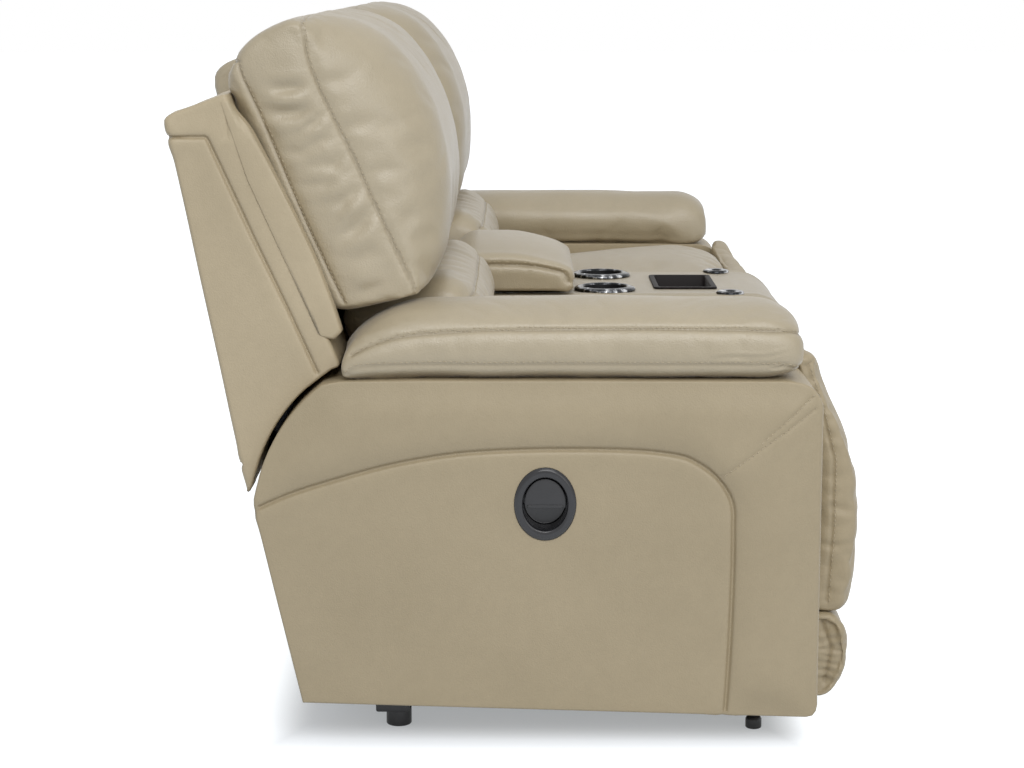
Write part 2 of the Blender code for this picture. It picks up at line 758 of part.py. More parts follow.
def wire(points, radius, sides=0):
    """Round wire through points, as a closed mesh."""
    curve = bpy.data.curves.new("wire", "CURVE")
    curve.dimensions = "3D"
    curve.bevel_depth = radius
    curve.bevel_resolution = sides
    curve.use_fill_caps = True
    spline = curve.splines.new("POLY")
    spline.points.add(len(points) - 1)
    for point, place_at in zip(spline.points, points):
        point.co = (*place_at, 1)
    holder = bpy.data.objects.new("wire", curve)
    bpy.context.scene.collection.objects.link(holder)
    graph = bpy.context.evaluated_depsgraph_get()
    raw = bpy.data.meshes.new_from_object(holder.evaluated_get(graph))
    bpy.data.objects.remove(holder)

    def build(work):
        work.from_mesh(raw)
        bmesh.ops.remove_doubles(work, verts=work.verts, dist=0.00001)
    return mesh_from(build)


def seat_plate(name, side, near, far, reach):
    """Steel side of the seat: its pins run in the base's slots, its flange holds the frame."""
    crank, front = forward(CRANK_PIVOT), forward(fold_pivots()["front_pivot"])
    outline = rounded_hull((0.170, 0.350, 0.020), (0.150, 0.300, 0.014), (*crank, 0.026),
                           (*front, 0.016), (-0.200, 0.386, 0.016), (0.170, 0.386, 0.016))
    holes = [circle(crank, TORQUE_TUBE + RUNNING, 12), circle(front, RIVET + RUNNING)]
    plate = place(name, slab(outline, 1, near, far, holes), steel())
    middle = side * SEAT_CENTRE
    away = 1 if near > middle else -1
    rail = middle + away * (SEAT_FRAME_HALF + CLEAR)
    xs = sorted((rail, near + away * 0.002))
    fuse(plate, box((xs[0], FLANGE_RUN[0], FLANGE_TOP - STEEL), (xs[1], FLANGE_RUN[1], FLANGE_TOP)))
    for y, z in SLIDE_PINS:
        fuse(plate, rod((near + away * 0.001, y, z), (reach + away * 0.0025, y, z), SLIDE_PIN))


# Footrest linkage

def forward(point):
    """Y-Z place of a point given as distance forward and height."""
    return (-point[0], point[1])


def closing_crank(reach, pivot, target, arm_length, link_length):
    """Angle at which a crank puts a link's far end on a target."""
    distance = math.dist(pivot, target)
    cosine = (arm_length ** 2 + distance ** 2 - link_length ** 2) / (2 * arm_length * distance)
    return angle_to(pivot, target) - reach * math.acos(cosine)


def fold_pivots():
    """Pivots of the footrest linkage in its closed place."""
    arm_length = math.dist(CRANK_PIVOT, CRANK_TIP)
    link_length = math.dist(CRANK_TIP, FOOT_PIVOT)
    open_angle = closing_crank(1, CRANK_PIVOT, FOOT_PIVOT_OPEN, arm_length, link_length)
    tip_open = polar(CRANK_PIVOT, arm_length, open_angle)
    pin = along(CRANK_TIP, FOOT_PIVOT, FRONT_PIN_SHARE)
    pin_open = along(tip_open, FOOT_PIVOT_OPEN, FRONT_PIN_SHARE)
    chord = angle_to(pin, pin_open)
    front_pivot = polar(along(pin, pin_open, 0.5), FRONT_PIVOT_OFFSET, chord + math.pi / 2)
    front_angle = angle_to(front_pivot, pin)
    control_pin = polar(pin, CONTROL_ARM, front_angle + CONTROL_BEND)
    bracket_pin = polar(FOOT_PIVOT, CONTROL_REACH, CONTROL_ANGLE)
    return {"front_pivot": front_pivot, "pin": pin, "control_pin": control_pin,
            "bracket_pin": bracket_pin}


def along(start, end, share):
    return (start[0] + (end[0] - start[0]) * share, start[1] + (end[1] - start[1]) * share)


def linkage(word, side):
    pivots = {name: forward(point) for name, point in fold_pivots().items()}
    crank_pivot, crank_tip = forward(CRANK_PIVOT), forward(CRANK_TIP)
    foot = forward(FOOT_PIVOT)
    torque_tube(word, side, crank_pivot, crank_tip)
    levels = zip(("outer", "inner"), *(seat_sides(side, level) for level in range(1, 5)))
    for label, plate_x, crank_x, link_x, bracket_x in levels:
        name = word + "_" + label
        place(name + "_long_link",
              slab(rounded_hull((*crank_tip, BOSS), (*foot, BOSS)), 1, *link_x,
                   holes=[circle(crank_tip, RIVET + RUNNING),
                          circle(foot, RIVET + RUNNING)]), steel())
        front_link(name, pivots, plate_x, crank_x, link_x)
        place(name + "_control_link",
              slab(rounded_hull((*pivots["control_pin"], LINK_HALF),
                                (*pivots["bracket_pin"], LINK_HALF)), 1, *link_x,
                   holes=[circle(pivots["control_pin"], RIVET + RUNNING)]), steel())
    footrest_bracket(word, side, foot, pivots["bracket_pin"])


def front_link(name, pivots, plate_x, crank_x, link_x):
    """Bent lever that hangs from the seat plate and steadies the long link."""
    bends = [pivots["front_pivot"], pivots["pin"], pivots["control_pin"]]
    lever = place(name + "_front_link", slab(strap(bends, LINK_HALF), 1, *crank_x), steel())
    core = sum(crank_x) / 2
    fuse(lever, rod((core, *pivots["front_pivot"]), (plate_x[1], *pivots["front_pivot"]), RIVET))
    fuse(lever, rod((core, *pivots["control_pin"]), (link_x[0], *pivots["control_pin"]), RIVET))


def torque_tube(word, side, pivot, tip):
    """Tube across the seat with a crank near each end; its ends turn in the seat plates."""
    ends = [far for near, far in seat_sides(side, 1)]
    tube = place(word + "_torque_tube", rod((ends[0], *pivot), (ends[1], *pivot), TORQUE_TUBE, 12),
                 steel())
    for crank_x, link_x in zip(seat_sides(side, 2), seat_sides(side, 3)):
        fuse(tube, slab(rounded_hull((*pivot, TORQUE_TUBE + 0.003), (*tip, BOSS)), 1, *crank_x))
        fuse(tube, rod((sum(crank_x) / 2, *tip), (link_x[0], *tip), RIVET))


def footrest_bracket(word, side, foot, bracket_pin):
    """Two steel ears on the footrest's board, joined by a flat brace."""
    flush = -BOARD_REAR + CLEAR
    edge = 0.006
    ear = rounded_hull((*foot, BOSS), (*bracket_pin, BOSS), (flush + edge, 0.415, edge),
                       (flush + edge, 0.215, edge))
    half = plane(4)[1] - 0.001
    x = side * SEAT_CENTRE
    bracket = place(word + "_footrest_bracket",
                    box((x - half, flush + 0.0002, BRACE_BOTTOM),
                        (x + half, flush + BRACE_THICK, BRACE_BOTTOM + BRACE_HEIGHT)), steel())
    for ear_x, link_x in zip(seat_sides(side, 4), seat_sides(side, 3)):
        fuse(bracket, slab(ear, 1, *ear_x))
        fuse(bracket, rod((sum(ear_x) / 2, *foot), (link_x[1], *foot), RIVET))


def footrest(word, side):
    x = side * SEAT_CENTRE
    board_front = BOARD_REAR + BOARD_THICK
    board = place(word + "_footrest_board",
                  box((x - BOARD_HALF, -board_front, BOARD_BOTTOM),
                      (x + BOARD_HALF, -BOARD_REAR, BOARD_TOP)), wood())
    bevel(board, SMALL_EDGE, 1)
    seat_y = -board_front - CLEAR
    upper = [*UPPER_LINE, *((seat_y, z) for z in UPPER_SEAT)]
    lower = [*LOWER_LINE, *((seat_y, z) for z in LOWER_SEAT)]
    near, far = SEAT_CENTRE - PAD_HALF, SEAT_CENTRE + PAD_HALF
    cushion(word + "_footrest_upper_pad", upper, side, near, far, UPPER_ROLL, leather(),
            drawn_in(upper, UPPER_DRAWN))
    cushion(word + "_footrest_lower_pad", lower, side, near, far, LOWER_ROLL, leather(),
            drawn_in(lower, LOWER_DRAWN))


# Console

def console_outline():
    nose = (CONSOLE_FRONT + CONSOLE_NOSE, DECK - CONSOLE_NOSE)
    return [(CONSOLE_REAR, BASE_TOP + CLEAR), (CONSOLE_REAR, DECK),
            *arc(nose, CONSOLE_NOSE, 90, 180, 6), (CONSOLE_FRONT, 0.200),
            (CONSOLE_FRONT + 0.020, BASE_TOP + CLEAR)]


def console_body():
    half = CONSOLE_WIDTH / 2
    body = place("console_body", slab(console_outline(), 1, -half, half), leather())
    bevel(body, CONSOLE_EDGE, 2, 40)
    above = DECK + OVERCUT
    cut(body, box((-BIN_HALF, BIN_FRONT, BIN_BOTTOM), (BIN_HALF, BIN_REAR, above)))
    for _, side in SIDES:
        x, y = side * CUP_CENTRE[0], CUP_CENTRE[1]
        cut(body, rod((x, y, DECK - CUP_DEPTH - CLEAR), (x, y, above), CUP_BODY + CLEAR, 20))
        x, y = side * DOCK_CENTRE[0], DOCK_CENTRE[1]
        cut(body, rod((x, y, DECK - DOCK_DEPTH - CLEAR), (x, y, above), DOCK_BODY + CLEAR, 12))
    wide, deep = (size - TRAY_RIM + CLEAR for size in TRAY_HALF)
    cut(body, box((-wide, TRAY_CENTRE - deep, DECK - TRAY_DEPTH - CLEAR),
                  (wide, TRAY_CENTRE + deep, above)))
    y, z = LID_PIVOT
    lug = [(y - LUG_WIDTH, DECK - 0.020), (y + LUG_WIDTH, DECK - 0.020),
           *arc(LID_PIVOT, LUG_WIDTH, 0, 180, 8)]
    fuse(body, slab(lug, 1, -LUG_HALF, LUG_HALF, [circle(LID_PIVOT, LID_PIN + RUNNING, 12)]))


def console_lid():
    """Padded lid whose rear is round about its hinge, with a notch for the lug."""
    y, z = LID_PIVOT
    front = -LID_FRONT
    outline = [(front + 0.008, z - LID_RADIUS), (front + 0.001, z - 0.033), (front, z - 0.016),
               (front + 0.004, z + 0.002), (front + 0.017, z + 0.018), (front + 0.040, z + 0.030),
               (front + 0.072, z + 0.038), (front + 0.110, z + LID_RADIUS),
               *arc(LID_PIVOT, LID_RADIUS, 90, -90, 10)]
    lid = place("console_lid", slab(outline, 1, -LID_HALF, LID_HALF), leather())
    bevel(lid, LID_EDGE, 2, 40)
    notch = LUG_HALF + CLEAR * 2
    edge = LUG_WIDTH + 0.001
    cut(lid, box((-notch, y - edge, z - LID_RADIUS - 0.01),
                 (notch, y + LID_RADIUS + 0.01, z + edge)))
    fuse(lid, rod((-notch - 0.010, y, z), (notch + 0.010, y, z), LID_PIN, 12))


def console_back():
    bottom = DECK + CLEAR
    outline = [(CONSOLE_BACK_REAR, CONSOLE_BACK_FOOT), *CONSOLE_BACK_LINE,
               (CONSOLE_BACK_FRONT, bottom), (CONSOLE_REAR + CLEAR, bottom),
               (CONSOLE_REAR + CLEAR, CONSOLE_BACK_FOOT)]
    panel = place("console_back", slab(outline, 1, -CONSOLE_WIDTH / 2, CONSOLE_WIDTH / 2),
                  leather())
    bevel(panel, PANEL_EDGE, 2, 40)


def cup_holders():
    for word, side in SIDES:
        top = DECK + CLEAR + RIM_THICK
        inner = CUP_BODY - CUP_THICK
        floor = DECK - CUP_DEPTH + CUP_THICK
        profile = [(0, floor), (inner, floor), (inner, top - 0.002), (inner + 0.002, top),
                   (CUP_RIM - 0.003, top), (CUP_RIM, top - 0.002), (CUP_RIM, DECK + CLEAR),
                   (CUP_BODY, DECK + CLEAR), (CUP_BODY, DECK - CUP_DEPTH),
                   (0, DECK - CUP_DEPTH)]
        cup = turned(word + "_cup_holder", profile, chrome(), 20)
        cup.location = (side * CUP_CENTRE[0], CUP_CENTRE[1], 0)


def docks():
    for word, side in SIDES:
        top = DECK + CLEAR + RIM_THICK
        floor = DECK - DOCK_DEPTH + 0.003
        profile = [(0, floor), (DOCK_BORE, floor), (DOCK_BORE, top - 0.002),
                   (DOCK_BORE + 0.002, top), (DOCK_RIM - 0.003, top), (DOCK_RIM, top - 0.002),
                   (DOCK_RIM, DECK + CLEAR), (DOCK_BODY, DECK + CLEAR),
                   (DOCK_BODY, DECK - DOCK_DEPTH), (0, DECK - DOCK_DEPTH)]
        dock = turned(word + "_accessory_dock", profile, chrome(), 12)
        dock.location = (side * DOCK_CENTRE[0], DOCK_CENTRE[1], 0)


def tray():
    wide, deep = TRAY_HALF
    top = DECK + CLEAR + 0.003
    piece = place("console_tray", box((-wide, TRAY_CENTRE - deep, DECK + CLEAR),
                                      (wide, TRAY_CENTRE + deep, top)), tray_black())
    wide, deep = wide - TRAY_RIM, deep - TRAY_RIM
    fuse(piece, box((-wide, TRAY_CENTRE - deep, DECK - TRAY_DEPTH),
                    (wide, TRAY_CENTRE + deep, top - 0.001)))
    wide, deep = wide - TRAY_WALL, deep - TRAY_WALL
    cut(piece, box((-wide, TRAY_CENTRE - deep, DECK - TRAY_DEPTH + TRAY_WALL),
                   (wide, TRAY_CENTRE + deep, top + 0.01)))


def rear_panel():
    """Cover board behind the mechanisms, parallel to the arms' rear edge."""
    place("rear_panel", slab(REAR_PANEL, 1, -ARM_IN + CLEAR, ARM_IN - CLEAR), panel_leather())


def build():
    base_frame()
    glides()
    rear_panel()
    console_body()
    console_lid()
    console_back()
    cup_holders()
    docks()
    tray()
    for word, side in SIDES:
        arm(word, side)
        arm_pillow(word, side)
        latch(word, side)
        back(word, side)
        seat(word, side)
        linkage(word, side)
        footrest(word, side)


build()
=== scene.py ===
"""Upholstery, trim and finish of the reclining loveseat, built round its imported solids.

Metres, in the frame of the solids. Outlines are (Y, Z) points and are drawn for
the right seat, which is at -X. The left seat's pieces are their mirror images.
"""
import json
import math

import bmesh
import bpy
import numpy as np
from mathutils import Matrix, Vector
from mathutils.bvhtree import BVHTree
from mathutils.geometry import delaunay_2d_cdt


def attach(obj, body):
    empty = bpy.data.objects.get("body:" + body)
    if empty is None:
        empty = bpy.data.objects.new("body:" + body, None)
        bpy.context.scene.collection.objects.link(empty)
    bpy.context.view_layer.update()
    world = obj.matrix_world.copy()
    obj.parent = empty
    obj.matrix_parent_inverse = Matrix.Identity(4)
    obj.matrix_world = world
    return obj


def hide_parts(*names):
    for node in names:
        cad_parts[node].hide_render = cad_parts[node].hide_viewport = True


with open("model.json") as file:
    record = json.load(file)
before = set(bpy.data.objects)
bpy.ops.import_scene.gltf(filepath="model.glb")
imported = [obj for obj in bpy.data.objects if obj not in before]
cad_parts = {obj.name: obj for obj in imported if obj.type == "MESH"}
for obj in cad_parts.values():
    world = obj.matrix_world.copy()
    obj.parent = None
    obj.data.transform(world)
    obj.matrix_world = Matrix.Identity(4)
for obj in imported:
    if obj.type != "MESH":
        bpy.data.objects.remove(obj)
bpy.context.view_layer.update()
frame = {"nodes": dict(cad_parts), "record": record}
SIDES = (("right", -1), ("left", 1))
ROOT = "sofa_frame"

SEAT_CENTRE = 0.48
RECLINE_PIVOT = (0.118, 0.33)
ARM_FACE = -0.9485
LATCH = (-0.043, 0.362)
TALLER = 1.2
DECK = 0.5565
CUP = (0.1, -0.158)
DOCK = (0.15, -0.374)
CONSOLE_HALF = 0.184
NOSE, NOSE_RADIUS = (-0.41, 0.4815), 0.0745


# Curves

def curved(points, closed=False, per=14):
    """Catmull-Rom curve through points."""
    p = np.asarray(points, float)
    count = len(p)
    parts = []
    for i in range(count if closed else count - 1):
        first = p[(i - 1) % count] if closed or i else 2 * p[0] - p[1]
        last = p[(i + 2) % count] if closed or i + 2 < count else 2 * p[-1] - p[-2]
        a, b = p[i], p[(i + 1) % count]
        t = np.linspace(0, 1, per, endpoint=False)[:, None]
        parts.append(0.5 * (2 * a + (b - first) * t + (2 * first - 5 * a + 4 * b - last) * t ** 2
                            + (3 * a - first - 3 * b + last) * t ** 3))
    if not closed:
        parts.append(p[-1:])
    return np.concatenate(parts)


def even(points, count=None, spacing=None, closed=False):
    """Points spread evenly along a line."""
    p = np.asarray(points, float)
    if closed:
        p = np.vstack([p, p[:1]])
    along = np.concatenate([[0], np.cumsum(np.linalg.norm(np.diff(p, axis=0), axis=1))])
    if count is None:
        count = max(2, int(round(along[-1] / spacing)) + 1)
    where = np.linspace(0, along[-1], count, endpoint=not closed)
    return np.stack([np.interp(where, along, p[:, k]) for k in range(p.shape[1])], 1)


def arc(centre, radius, start, end, steps):
    angle = np.radians(np.linspace(start, end, steps + 1))
    return np.stack([centre[0] + radius * np.cos(angle), centre[1] + radius * np.sin(angle)], 1)


def rounded(points, radius, steps=6):
    """Closed outline whose corners are rounded; radius is one number or one for each corner."""
    p = np.asarray(points, float)
    radii = np.broadcast_to(radius, len(p))
    out = []
    for i, (corner, r) in enumerate(zip(p, radii)):
        before, after = p[i - 1] - corner, p[(i + 1) % len(p)] - corner
        reach = min(r, np.linalg.norm(before) * 0.48, np.linalg.norm(after) * 0.48)
        a = corner + before / np.linalg.norm(before) * reach
        b = corner + after / np.linalg.norm(after) * reach
        t = np.linspace(0, 1, steps + 1)[:, None]
        out.append((1 - t) ** 2 * a + 2 * t * (1 - t) * corner + t ** 2 * b)
    return np.concatenate(out)


def to3d(line, x):
    line = np.asarray(line, float)
    return np.column_stack([np.broadcast_to(x, len(line)), line])


def store(work, thing):
    """Puts a working mesh back into its piece."""
    work.to_mesh(thing.data)
    work.free()
    thing.data.shade_smooth()


def opened(thing):
    """Working mesh of a piece."""
    work = bmesh.new()
    work.from_mesh(thing.data)
    return work


def linked(name, data):
    thing = bpy.data.objects.new(name, data)
    bpy.context.scene.collection.objects.link(thing)
    return thing


# Meshes

def new_object(name, verts, faces):
    mesh = bpy.data.meshes.new(name)
    mesh.from_pydata(np.asarray(verts).tolist(), [], [list(f) for f in faces])
    thing = linked(name, mesh)
    work = opened(thing)
    bmesh.ops.remove_doubles(work, verts=work.verts, dist=1e-6)
    bmesh.ops.recalc_face_normals(work, faces=work.faces)
    store(work, thing)
    return thing


def ring_mesh(name, rings):
    """Closed solid through rings of as many points each, with a fan at each end."""
    rings = np.asarray(rings, float)
    rows, count = rings.shape[:2]
    verts = np.vstack([rings.reshape(-1, 3), rings[0].mean(0), rings[-1].mean(0)])
    index = np.arange(count)
    following = (index + 1) % count
    faces = []
    for row in range(rows - 1):
        a, b = row * count, (row + 1) * count
        faces += np.column_stack([a + index, a + following, b + following, b + index]).tolist()
    last = (rows - 1) * count
    faces += np.column_stack([following, index, np.full(count, rows * count)]).tolist()
    faces += np.column_stack([last + index, last + following,
                              np.full(count, rows * count + 1)]).tolist()
    return new_object(name, verts, faces)


def lofted(name, profile, ends, swell=0.0, step=0.012, roll_steps=7, cap_step=0.012):
    """Cushion of a closed profile between two ends.

    Each end is (x, rim, roll, crown): the rim is where the profile's points land
    on the end, roll how far in from the end each of them reaches full size, and
    crown how far the end itself stands out in its middle.
    """
    profile = np.asarray(profile, float)
    sign = np.sign(ends[1][0] - ends[0][0])
    middle = profile.mean(0)
    outward = profile - middle
    outward /= np.linalg.norm(outward, axis=1)[:, None]
    rings, starts = [], []
    for place, (x, rim, roll, crown) in enumerate(ends):
        rim = np.asarray(rim, float)
        roll = np.broadcast_to(roll, len(profile))
        inward = sign if place == 0 else -sign
        centre = rim.mean(0)
        reach = np.linalg.norm(rim - centre, axis=1).min()
        own = []
        for share in np.linspace(0.08, 1, max(4, int(reach / cap_step)), endpoint=False):
            flat = centre + (rim - centre) * share
            own.append(to3d(flat, x - inward * crown * (1 - share ** 2)))
        for angle in np.linspace(0, math.pi / 2, roll_steps + 1):
            flat = rim + (profile - rim) * math.sin(angle)
            own.append(np.column_stack([x + inward * roll * (1 - math.cos(angle)), flat]))
        starts.append(own[-1])
        rings.append(own)
    spans = max(3, int(np.abs(starts[1][:, 0] - starts[0][:, 0]).max() / step))
    between = []
    for share in np.linspace(0, 1, spans + 1)[1:-1]:
        line = starts[0] * (1 - share) + starts[1] * share
        line[:, 1:] += outward * np.reshape(swell, (-1, 1)) * math.sin(math.pi * share)
        between.append(line)
    return ring_mesh(name, rings[0] + between + rings[1][::-1])


def bolster(name, outline, start, end, inset, roll, crown=0.0, **fineness):
    """Cushion of one outline that is rounded alike at both ends."""
    rim = shrunk(outline, inset)
    return lofted(name, outline, ((start, rim, roll, crown), (end, rim, roll, crown)), **fineness)


def faced(thing, rim, x, lines):
    """Lays a flat end anew as even triangles, with rows of points beside its seams."""
    spacing = 0.009
    seams = [np.asarray(line, float) for line in lines]
    y, z = np.meshgrid(np.arange(rim[:, 0].min(), rim[:, 0].max(), spacing),
                       np.arange(rim[:, 1].min(), rim[:, 1].max(), spacing))
    loose = np.column_stack([y.ravel(), z.ravel()])
    rows = []
    for seam in seams:
        run = even(seam, spacing=0.0035)
        side = np.gradient(run, axis=0)
        side = np.column_stack([-side[:, 1], side[:, 0]])
        side /= np.maximum(np.linalg.norm(side, axis=1), 1e-9)[:, None]
        for offset in (0, 0.0014, 0.0029, 0.0048, 0.0075, 0.011):
            for sign in ((1,) if offset == 0 else (-1, 1)):
                row = run + side * offset * sign
                rows.append(row[seams_apart(row, seams, seam, offset)])
    loose = loose[nearest_seam(to3d(loose, 0), [to3d(s, 0) for s in seams], 0.1) > 0.0145]
    loose = np.vstack([loose, *rows])
    ring = to3d(np.vstack([rim, rim[:1]]), 0)
    clear = nearest_seam(to3d(loose, 0), [ring], 0.1) > 0.0022
    loose = loose[clear & within(loose, rim)]
    count = len(rim)
    points = [Vector(p) for p in np.vstack([rim, loose])]
    edges = [(i, (i + 1) % count) for i in range(count)]
    found = delaunay_2d_cdt(points, edges, [], 1, 1e-7)
    work = opened(thing)
    old = [f for f in work.faces if all(abs(v.co.x - x) < 1e-6 for v in f.verts)]
    bmesh.ops.delete(work, geom=old, context="FACES")
    made = [work.verts.new((x, p.x, p.y)) for p in found[0]]
    for face in found[2]:
        work.faces.new([made[i] for i in face])
    bmesh.ops.remove_doubles(work, verts=work.verts, dist=2e-5)
    bmesh.ops.delete(work, geom=[v for v in work.verts if not v.link_faces], context="VERTS")
    bmesh.ops.recalc_face_normals(work, faces=work.faces)
    store(work, thing)


def seams_apart(row, seams, own, offset):
    """Which points of a seam's side row lie nearer to it than to the other seams."""
    keep = np.ones(len(row), bool)
    for other in seams:
        if other is not own:
            keep &= nearest_seam(to3d(row, 0), [to3d(other, 0)], 0.1) > offset + 0.0012
    return keep


def shrunk(outline, inset):
    """Outline drawn in towards its middle by about one distance."""
    outline = np.asarray(outline, float)
    centre = outline.mean(0)
    half = (outline.max(0) - outline.min(0)) / 2
    return centre + (outline - centre) * (1 - inset / half)


def outward(outline):
    """Outward normals of a closed outline."""
    step = np.roll(outline, -1, 0) - np.roll(outline, 1, 0)
    out = np.column_stack([step[:, 1], -step[:, 0]])
    out /= np.maximum(np.linalg.norm(out, axis=1), 1e-12)[:, None]
    ahead = np.roll(outline, -1, 0)
    area = (outline[:, 0] * ahead[:, 1] - ahead[:, 0] * outline[:, 1]).sum()
    return out if area > 0 else -out


def eased(values, reach=9):
    """Values round a closed outline, evened out over a few points."""
    kernel = np.hanning(2 * reach + 1)
    wrapped = np.concatenate([values[-reach:], values, values[:reach]])
    return np.convolve(wrapped, kernel / kernel.sum(), "valid")


def smoothstep(low, high, value):
    t = np.clip((value - low) / (high - low), 0, 1)
    return t * t * (3 - 2 * t)


def within(points, polygon):
    """Whether each 2-D point lies inside a closed polygon."""
    inside = np.zeros(len(points), bool)
    for (ya, za), (yb, zb) in zip(polygon, np.roll(polygon, -1, 0)):
        crosses = (za > points[:, 1]) != (zb > points[:, 1])
        if crosses.any():
            at = ya + (points[:, 1] - za) * (yb - ya) / ((zb - za) or 1e-12)
            inside ^= crosses & (points[:, 0] < at)
    return inside


def coordinates(thing):
    co = np.empty(len(thing.data.vertices) * 3)
    thing.data.vertices.foreach_get("co", co)
    return co.reshape(-1, 3)


def set_coordinates(thing, co):
    thing.data.vertices.foreach_set("co", np.ascontiguousarray(co).ravel())
    thing.data.update()


def normals(thing):
    out = np.empty(len(thing.data.vertices) * 3)
    thing.data.vertex_normals.foreach_get("vector", out)
    return out.reshape(-1, 3)


def tree_of(thing):
    work = opened(thing)
    tree = BVHTree.FromBMesh(work)
    work.free()
    return tree


def on_surface(tree, line):
    """Nearest surface points of a line, and the normals there."""
    found = [tree.find_nearest(Vector(p)) for p in line]
    return (np.array([f[0] for f in found]), np.array([f[1] for f in found]))


def seam_place(co, seam):
    """For each point, how far it is from a seam and how far along the seam that is."""
    a, b = seam[:-1], seam[1:]
    step = b - a
    length = np.linalg.norm(step, axis=1)
    begin = np.concatenate([[0], np.cumsum(length)[:-1]])
    best = np.full(len(co), np.inf)
    along = np.zeros(len(co))
    for p, d, l, s in zip(a, step, length, begin):
        if l < 1e-9:
            continue
        t = np.clip(((co - p) @ d) / l ** 2, 0, 1)
        gap = np.linalg.norm(co - p - t[:, None] * d, axis=1)
        nearer = gap < best
        best[nearer] = gap[nearer]
        along[nearer] = s + t[nearer] * l
    return best, along


def nearest_seam(co, seams, limit):
    """Distance to the nearest of several seams, worked out only inside its reach."""
    best = np.full(len(co), limit)
    for seam in seams:
        low, high = seam.min(0) - limit, seam.max(0) + limit
        inside = np.flatnonzero(((co > low) & (co < high)).all(1))
        if len(inside):
            gap, _ = seam_place(co[inside], seam)
            best[inside] = np.minimum(best[inside], gap)
    return best


def refine(thing, seams):
    """Splits the edges near the seams, twice over, so that a groove has room."""
    work = opened(thing)
    for reach, longest in ((0.016, 0.0055), (0.008, 0.0028)):
        edges = list(work.edges)
        ends = np.array([[*e.verts[0].co, *e.verts[1].co] for e in edges])
        middle = (ends[:, :3] + ends[:, 3:]) / 2
        length = np.linalg.norm(ends[:, :3] - ends[:, 3:], axis=1)
        near = nearest_seam(middle, seams, reach * 2) < reach + length / 2
        chosen = [e for e, yes in zip(edges, near & (length > longest)) if yes]
        bmesh.ops.subdivide_edges(work, edges=chosen, cuts=1, use_grid_fill=True)
    bmesh.ops.triangulate(work, faces=[f for f in work.faces if len(f.verts) > 4])
    store(work, thing)


def seat_seams(thing, lines):
    """Lines laid on the surface as it stands."""
    tree = tree_of(thing)
    return [on_surface(tree, even(line, spacing=0.006))[0] for line in lines]


def laid(thing, lines):
    """Lines on the surface, once it is finer beside them."""
    refine(thing, seat_seams(thing, lines))
    return seat_seams(thing, lines)


def sewn(thing, lines, slack, pinned=(), **air):
    """Fills a cushion and returns its seams, laid on the filled surface."""
    puffed(thing, seat_seams(thing, [*lines, *pinned]), slack, **air)
    return laid(thing, lines)


def groove(thing, seams, depth, width, puff, puff_reach, shade=0.5):
    """Draws the surface in along the seams, lets it stand a little proud beside them, and paints shade
    along them by the share shade.
    """
    co, out = coordinates(thing), normals(thing)
    gap = nearest_seam(co, seams, 0.06)
    shift = -depth * np.exp(-(gap / width) ** 2)
    shift += puff * (gap / puff_reach) * np.exp(0.5 - (gap / puff_reach) ** 2 / 2)
    shift[gap >= 0.06] = 0
    set_coordinates(thing, co + out * shift[:, None])
    mark(thing, shade * np.exp(-(gap / 0.002) ** 2))


def mark(thing, value, fresh=False):
    """Keeps how deep in a seam each point lies, for the painted shade that darkens the leather's colour
    there.
    """
    layer = thing.data.attributes.get("painted_seam_shade")
    old = np.zeros(len(thing.data.vertices), np.float32)
    if layer and not fresh:
        layer.data.foreach_get("value", old)
    elif not layer:
        layer = thing.data.attributes.new("painted_seam_shade", "FLOAT", "POINT")
    layer.data.foreach_set("value", np.maximum(old, value).astype(np.float32))


def mark_only(thing, seams):
    """Paints shade into these seams alone."""
    gap = nearest_seam(coordinates(thing), seams, 0.06)
    mark(thing, np.exp(-(gap / 0.0022) ** 2), fresh=True)


def gathers(thing, seams, pitch, reach, depth, width, seed):
    """Short folds that run out from each seam, deepest where the stitches pull."""
    for index, seam in enumerate(seams):
        rng = np.random.default_rng(seed + index)
        total = np.linalg.norm(np.diff(seam, axis=0), axis=1).sum()
        co, out = coordinates(thing), normals(thing)
        low, high = seam.min(0) - reach * 1.6, seam.max(0) + reach * 1.6
        inside = np.flatnonzero(((co > low) & (co < high)).all(1))
        gap, along = seam_place(co[inside], seam)
        shift = np.zeros(len(inside))
        place = pitch * 0.5
        while place < total:
            long = reach * rng.uniform(0.5, 1.25)
            deep = depth * rng.uniform(0.35, 1.2)
            wide = width * rng.uniform(0.6, 1.3)
            off = along - place - rng.uniform(-0.35, 0.35) * gap
            fading = np.clip(1 - gap / long, 0, 1) ** 1.3
            shift -= deep * fading * (np.exp(-(off / wide) ** 2)
                                      - 0.55 * np.exp(-((np.abs(off) - wide * 1.7) / wide) ** 2))
            place += pitch * rng.uniform(0.55, 1.5)
        co[inside] += out[inside] * shift[:, None]
        set_coordinates(thing, co)


def folds(thing, creases, x):
    """Soft creases, deepest midway along, each between two low swells."""
    co, out = coordinates(thing), normals(thing)
    tree = tree_of(thing)
    shift = np.zeros(len(co))
    for line, depth, width in creases:
        seam = on_surface(tree, even(curved(to3d(line, x)), spacing=0.004))[0]
        total = np.linalg.norm(np.diff(seam, axis=0), axis=1).sum()
        reach = width * 4.5
        inside = np.flatnonzero(((co > seam.min(0) - reach) & (co < seam.max(0) + reach)).all(1))
        if not len(inside):
            continue
        gap, along = seam_place(co[inside], seam)
        taper = smoothstep(0.0, 0.42, np.minimum(along, total - along) / total)
        shift[inside] -= depth * taper * (np.exp(-(gap / width) ** 2) - 0.55 * np.exp(
            -((gap - 2.1 * width) / (1.1 * width)) ** 2))
    set_coordinates(thing, co + out * shift[:, None])


